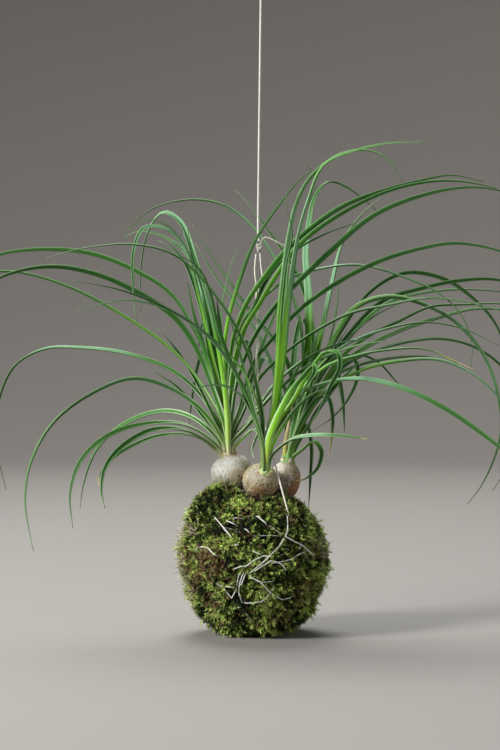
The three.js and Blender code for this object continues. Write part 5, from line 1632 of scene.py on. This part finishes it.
def wind_thread(settings):
    """The long loops that bind the ball, and the short runs that lie proud on its front."""
    bm = bmesh.new()
    radius = settings.thread / 2
    centre = (0, 0, BALL_Z * MM)
    for loop in LOOPS:
        turn, height = np.radians(pairs(loop)).T
        flat = np.cos(height)
        dirs = np.stack([np.sin(turn) * flat, -np.cos(turn) * flat, np.sin(height)], axis=1)
        route = wound(dirs, 440, 0, LOOP_SAG, closed=True)
        behind = smooth(route[:, 1], -0.02, 0.02)
        route += unit(route - centre) * (LOOP_RISE * behind - LOOP_SUNK)[:, None] * MM
        laid_tube(bm, route, radius * 0.9, 6, 2, THREAD_PITCH)
    for thickness, *run in SHOWING:
        points = pairs(run)
        marks = pulled_straight([front_direction(x, z) for x, z in points])
        steps = 12 * len(points)
        route = wound(marks, steps, THREAD_HEIGHT - 0.1, 0.3)
        place = np.linspace(0, 1, steps + 1)
        dive = 1 - smooth(np.minimum(place, 1 - place) * length_of(route), 0, 0.003)
        route -= unit(route - centre) * (END_DIVE * dive)[:, None] * MM
        laid_tube(bm, route, radius * thickness * SHOWN_SWELL, 8, 2, THREAD_PITCH, 1 - 0.5 * dive)
    yarn = yarn_finish("binding thread", settings.white, (0.78, 0.77, 0.73))
    finished("winding_thread", bm, yarn, ["binding_thread"])


def hang_strings(settings):
    """The two strands from the ball, the line they hang from, their knots and the loop at the top."""
    white = yarn_finish("string", settings.white, (0.5, 0.49, 0.45))
    worn = yarn_finish("worn knot", (0.72, 0.7, 0.64), (0.3, 0.29, 0.25))
    # The strands take a lighter, creamier yarn than the line: partly their own cream tint, partly painted
    # light against the leaves' shade on them
    bright = yarn_finish("strands", (0.93, 0.89, 0.8), (0.78, 0.74, 0.65))
    lower = add_lower_knot(worn)
    for name, points, knot in (("front", FRONT_STRAND, [lower]), ("back", BACK_STRAND, [])):
        bm = bmesh.new()
        route = Spline(points).spaced(420)
        laid_tube(bm, route, STRAND * 0.6, 10, 3, STRAND_PITCH)
        finished("string_" + name, bm, bright, ["strand_" + name])
        STRAND_EXIT_FRONT if name == "front" else STRAND_EXIT_BACK
    upper = add_upper_knot(worn)
    loop = add_loop(white)
    bm = bmesh.new()
    route = Spline(HANGING_LINE).spaced(420)
    laid_tube(bm, route, LINE / 2, 12, 3, LINE_PITCH)
    line = finished("string_line", bm, white, ["hanging_line"])


# Wraps of string in metres: place, half width, half depth, turns, rise of a turn, steps and radius
LOWER_WRAP = (0.0029, 0.2588), 0.0019, 0.0014, 2.6, 0.0011, 90, 0.00062
LOOP_WRAP = (0.0054, 0.4883), 0.0013, 0.0012, 3.2, 0.0014, 110, 0.0006

# The overhand knot in metres: its place and its size across, in depth and in height
KNOT_PLACE, KNOT_SIZE = (0.0038, 0.2884), (0.00052, 0.0009, 0.00105)


def add_wrap(bm, place, wide, deep, turns, rise, steps, radius):
    """Turns of string one above the other."""
    turn = np.linspace(0, 2 * math.pi * turns, steps)
    height = place[1] + rise * turn / 2 / math.pi
    route = np.stack([place[0] + wide * np.cos(turn), deep * np.sin(turn), height], axis=1)
    laid_tube(bm, route, radius, 10, 3, THREAD_PITCH)


def add_lower_knot(finish):
    """A small wrap of string that draws the two strands together."""
    bm = bmesh.new()
    add_wrap(bm, *LOWER_WRAP)
    return finished("knot_lower", bm, finish, ["lower_knot"])


def add_upper_knot(finish):
    """The overhand knot below the hanging line, with its cut tail."""
    bm = bmesh.new()
    turn = np.linspace(0, 2 * math.pi, 120)
    across = np.sin(turn) + 2 * np.sin(2 * turn)
    rise = np.cos(turn) - 2 * np.cos(2 * turn)
    wide, deep, tall = KNOT_SIZE
    route = np.stack([KNOT_PLACE[0] + wide * across, -deep * np.sin(3 * turn),
                      KNOT_PLACE[1] + tall * rise], axis=1)
    laid_tube(bm, route, 0.00085, 12, 3, KNOT_PITCH)
    frayed = np.concatenate([np.ones(64), np.linspace(1, 0.35, 7)])
    laid_tube(bm, Spline(TAIL).spaced(70), 0.00052, 10, 3, STRAND_PITCH, frayed)
    return finished("knot_upper", bm, finish, ["upper_knot"])


def add_loop(finish):
    """The loop that the plant hangs by, whipped at its foot."""
    bm = bmesh.new()
    laid_tube(bm, Spline(LOOP_TOP, closed=True).spaced(90), LINE / 2, 12, 3, LINE_PITCH)
    add_wrap(bm, *LOOP_WRAP)
    return finished("loop_top", bm, finish, ["hanging_loop"])


# Stage

def set_stage(settings):
    """Camera, soft lights and a round sweep, pale under the plant and dim towards its wall."""
    camera = linked("camera", bpy.data.cameras.new("camera"))
    camera.data.lens, camera.data.sensor_width = LENS, SENSOR
    camera.data.clip_start, camera.data.clip_end = 0.05, 50
    camera.location = (VIEW_X, -VIEW_DISTANCE, VIEW_Z)
    camera.rotation_euler = (math.pi / 2, 0, 0)
    bpy.context.scene.camera = camera
    bpy.context.scene.view_settings.view_transform = "Standard"
    for name, place, size, power, spread, tint in LIGHTS:
        lamp = bpy.data.lights.new(name, "AREA")
        lamp.spread = math.radians(spread)
        lamp.shape, lamp.size, lamp.energy, lamp.color = "DISK", size, power * settings.light, tint
        holder = linked(name, lamp)
        holder.location = place
        aim = Vector(LAMP_AIM) - holder.location
        holder.rotation_euler = aim.to_track_quat("-Z", "Y").to_euler()
    world = bpy.data.worlds.new("studio")
    world.use_nodes = True
    world.node_tree.nodes["Background"].inputs["Color"].default_value = (0.95, 0.98, 1, 1)
    world.node_tree.nodes["Background"].inputs["Strength"].default_value = settings.daylight
    bpy.context.scene.world = world
    bm = bmesh.new()
    wall = SWEEP_FLAT + SWEEP_BEND
    outline = [(radius, SWEEP_FLOOR) for radius in (0, 0.4, 1, SWEEP_FLAT)]
    outline += [(SWEEP_FLAT + SWEEP_BEND * math.sin(turn), SWEEP_BEND - SWEEP_BEND * math.cos(turn))
                for turn in np.linspace(0, math.pi / 2, 14)[1:]]
    turned(bm, outline + [(wall, 3), (wall, 5)], SWEEP_STEPS)
    bmesh.ops.reverse_faces(bm, faces=bm.faces)
    finish = Finish("studio sweep")
    x, y, z = finish.split(finish.coords())
    away = (x * x + y * y) ** 0.5
    colour = finish.mix(away.rise(0.35, 2.4), settings.floor, settings.wall)
    dimmed = [0.8 * part for part in settings.wall]
    colour = colour.mix(finish.noise(1.2, 2, 0.5) * 0.12, dimmed)
    sweep = shown("sweep", mesh_from("sweep", bm), finish.surface(colour, 0.8))


# Settings that a user may change

def length_setting(name, default, text, high):
    return FloatProperty(name=name, description=text, default=default, min=0.0002, max=high,
                         unit="LENGTH", precision=5)


def share_setting(name, default, text, low, high):
    return FloatProperty(name=name, description=text, default=default, min=low, max=high,
                         subtype="FACTOR")


def colour_setting(name, default, text):
    return FloatVectorProperty(name=name, description=text, default=default, min=0, max=1,
                               subtype="COLOR", size=3)


class StageSettings(bpy.types.PropertyGroup):
    light: share_setting("Light", 1.0, "Strength of the soft lamps", 0.1, 5)
    daylight: share_setting("Daylight", 0.085, "Strength of the light from all round", 0, 2)
    floor: colour_setting("Floor", (0.3, 0.29, 0.275), "Colour of the floor under the plant")
    wall: colour_setting("Wall", (0.41, 0.388, 0.366), "Colour of the wall behind the plant")


class StringSettings(bpy.types.PropertyGroup):
    thread: length_setting("Thread", THREAD, "Thickness of the binding thread", 0.003)
    white: colour_setting("Yarn", (0.93, 0.93, 0.9), "Colour of clean yarn")


class MossSettings(bpy.types.PropertyGroup):
    shoots: IntProperty(name="Shoots", description="Number of shoots tried over the whole ball",
                        default=22000, min=2000, max=24000)
    leafy: colour_setting("Leafy", (0.12, 0.22, 0.022), "Colour of most living moss")
    tips: colour_setting("Tips", (0.8, 1.0, 0.27), "Colour of the brightest tips")
    # Shaded is a darker copy of the moss's colours, painted shade for its hollows
    shaded: colour_setting("Shaded", (0.02, 0.042, 0.006), "Colour of moss in hollows")
    dry: colour_setting("Dry", (0.24, 0.15, 0.065), "Colour of dry moss")


class SoilSettings(bpy.types.PropertyGroup):
    earth: colour_setting("Earth", (0.014, 0.01, 0.007), "Colour of damp soil")


class BulbSettings(bpy.types.PropertyGroup):
    white: colour_setting("White skin", (0.61, 0.61, 0.585), "Colour of the palest bulb skin")
    pale: colour_setting("Pale skin", (0.56, 0.49, 0.34), "Colour of the pale bulb skin")
    tan: colour_setting("Tan skin", (0.36, 0.24, 0.12), "Colour of the dry bulb skin")
    lilac: colour_setting("Lilac bloom", (0.5, 0.45, 0.39), "Colour of the cool bloom on the skin")


class LeafSettings(bpy.types.PropertyGroup):
    thickness: length_setting("Thickness", 0.00045, "Thickness of a leaf blade", 0.002)
    channel: share_setting("Channel", 0.38, "Depth of the channel as a share of the width", 0, 0.5)
    fresh: colour_setting("Fresh green", (0.5, 0.7, 0.08), "Colour low on a young leaf")
    young: colour_setting("Young green", (0.35, 0.83, 0.035), "Colour halfway up a young leaf")
    old: colour_setting("Old green", (0.036, 0.18, 0.016), "Colour halfway up an old leaf")
    # Shaded green is painted shade on one half of a blade; the leaves' darker mottles take it too
    cool: colour_setting("Shaded green", (0.008, 0.055, 0.008), "Colour of the darker side of a leaf")
    # Bloom is the colour of a painted reflection, the bluish sheen of the sky on the blades, not a
    # coating
    bloom: colour_setting("Bloom", (0.23, 0.47, 0.26), "Colour of the bluish bloom halfway up a leaf")


GROUPS = {"stage": StageSettings, "string": StringSettings, "moss": MossSettings, "soil": SoilSettings,
          "bulb": BulbSettings, "leaf": LeafSettings}


def chosen(group):
    return getattr(bpy.context.scene, "kokedama_" + group)


# Operators

class KOKEDAMA_OT_stage(bpy.types.Operator):
    """Set the camera, the soft lights and the floor"""
    bl_idname = "kokedama.stage"
    bl_label = "Stage"

    def execute(self, context):
        set_stage(chosen("stage"))
        return {"FINISHED"}


class KOKEDAMA_OT_string(bpy.types.Operator):
    """Hang the string with its knots and loop"""
    bl_idname = "kokedama.string"
    bl_label = "String"

    def execute(self, context):
        hang_strings(chosen("string"))
        return {"FINISHED"}


class KOKEDAMA_OT_thread(bpy.types.Operator):
    """Wind the binding thread round the ball"""
    bl_idname = "kokedama.thread"
    bl_label = "Binding Thread"

    def execute(self, context):
        wind_thread(chosen("string"))
        return {"FINISHED"}


class KOKEDAMA_OT_moss(bpy.types.Operator):
    """Grow the moss mat and its shoots"""
    bl_idname = "kokedama.moss"
    bl_label = "Moss"

    def execute(self, context):
        grow_moss(chosen("moss"))
        return {"FINISHED"}


class KOKEDAMA_OT_soil(bpy.types.Operator):
    """Pack the soil and lay the fine roots"""
    bl_idname = "kokedama.soil"
    bl_label = "Soil"

    def execute(self, context):
        add_soil(chosen("soil"))
        return {"FINISHED"}


class KOKEDAMA_OT_bulbs(bpy.types.Operator):
    """Set the three bulbs in the soil"""
    bl_idname = "kokedama.bulbs"
    bl_label = "Bulbs"

    def execute(self, context):
        set_bulbs(chosen("bulb"))
        return {"FINISHED"}


class KOKEDAMA_OT_leaves(bpy.types.Operator):
    """Grow the leaves of the three plants"""
    bl_idname = "kokedama.leaves"
    bl_label = "Leaves"

    def execute(self, context):
        set_leaves(chosen("leaf"))
        return {"FINISHED"}


OPERATORS = (KOKEDAMA_OT_stage, KOKEDAMA_OT_string, KOKEDAMA_OT_thread, KOKEDAMA_OT_moss,
             KOKEDAMA_OT_soil, KOKEDAMA_OT_bulbs, KOKEDAMA_OT_leaves)


class KOKEDAMA_PT_panel(bpy.types.Panel):
    """Settings and steps of the moss ball plant"""
    bl_idname = "KOKEDAMA_PT_panel"
    bl_label = "Moss Ball Plant"
    bl_space_type = "VIEW_3D"
    bl_region_type = "UI"
    bl_category = "Kokedama"

    def draw(self, context):
        for operator in OPERATORS:
            self.layout.operator(operator.bl_idname)
        for group, settings in GROUPS.items():
            box = self.layout.box()
            for key in settings.__annotations__:
                box.prop(chosen(group), key)


CLASSES = (*GROUPS.values(), *OPERATORS, KOKEDAMA_PT_panel)


def register():
    for item in CLASSES:
        bpy.utils.register_class(item)
    for group, settings in GROUPS.items():
        setattr(bpy.types.Scene, "kokedama_" + group, PointerProperty(type=settings))


def unregister():
    for group in GROUPS:
        delattr(bpy.types.Scene, "kokedama_" + group)
    for item in reversed(CLASSES):
        bpy.utils.unregister_class(item)


def main():
    register()
    for step in ("stage", "string", "thread", "moss", "soil", "bulbs", "leaves"):
        getattr(bpy.ops.kokedama, step)()


if __name__ == "__main__":
    main()
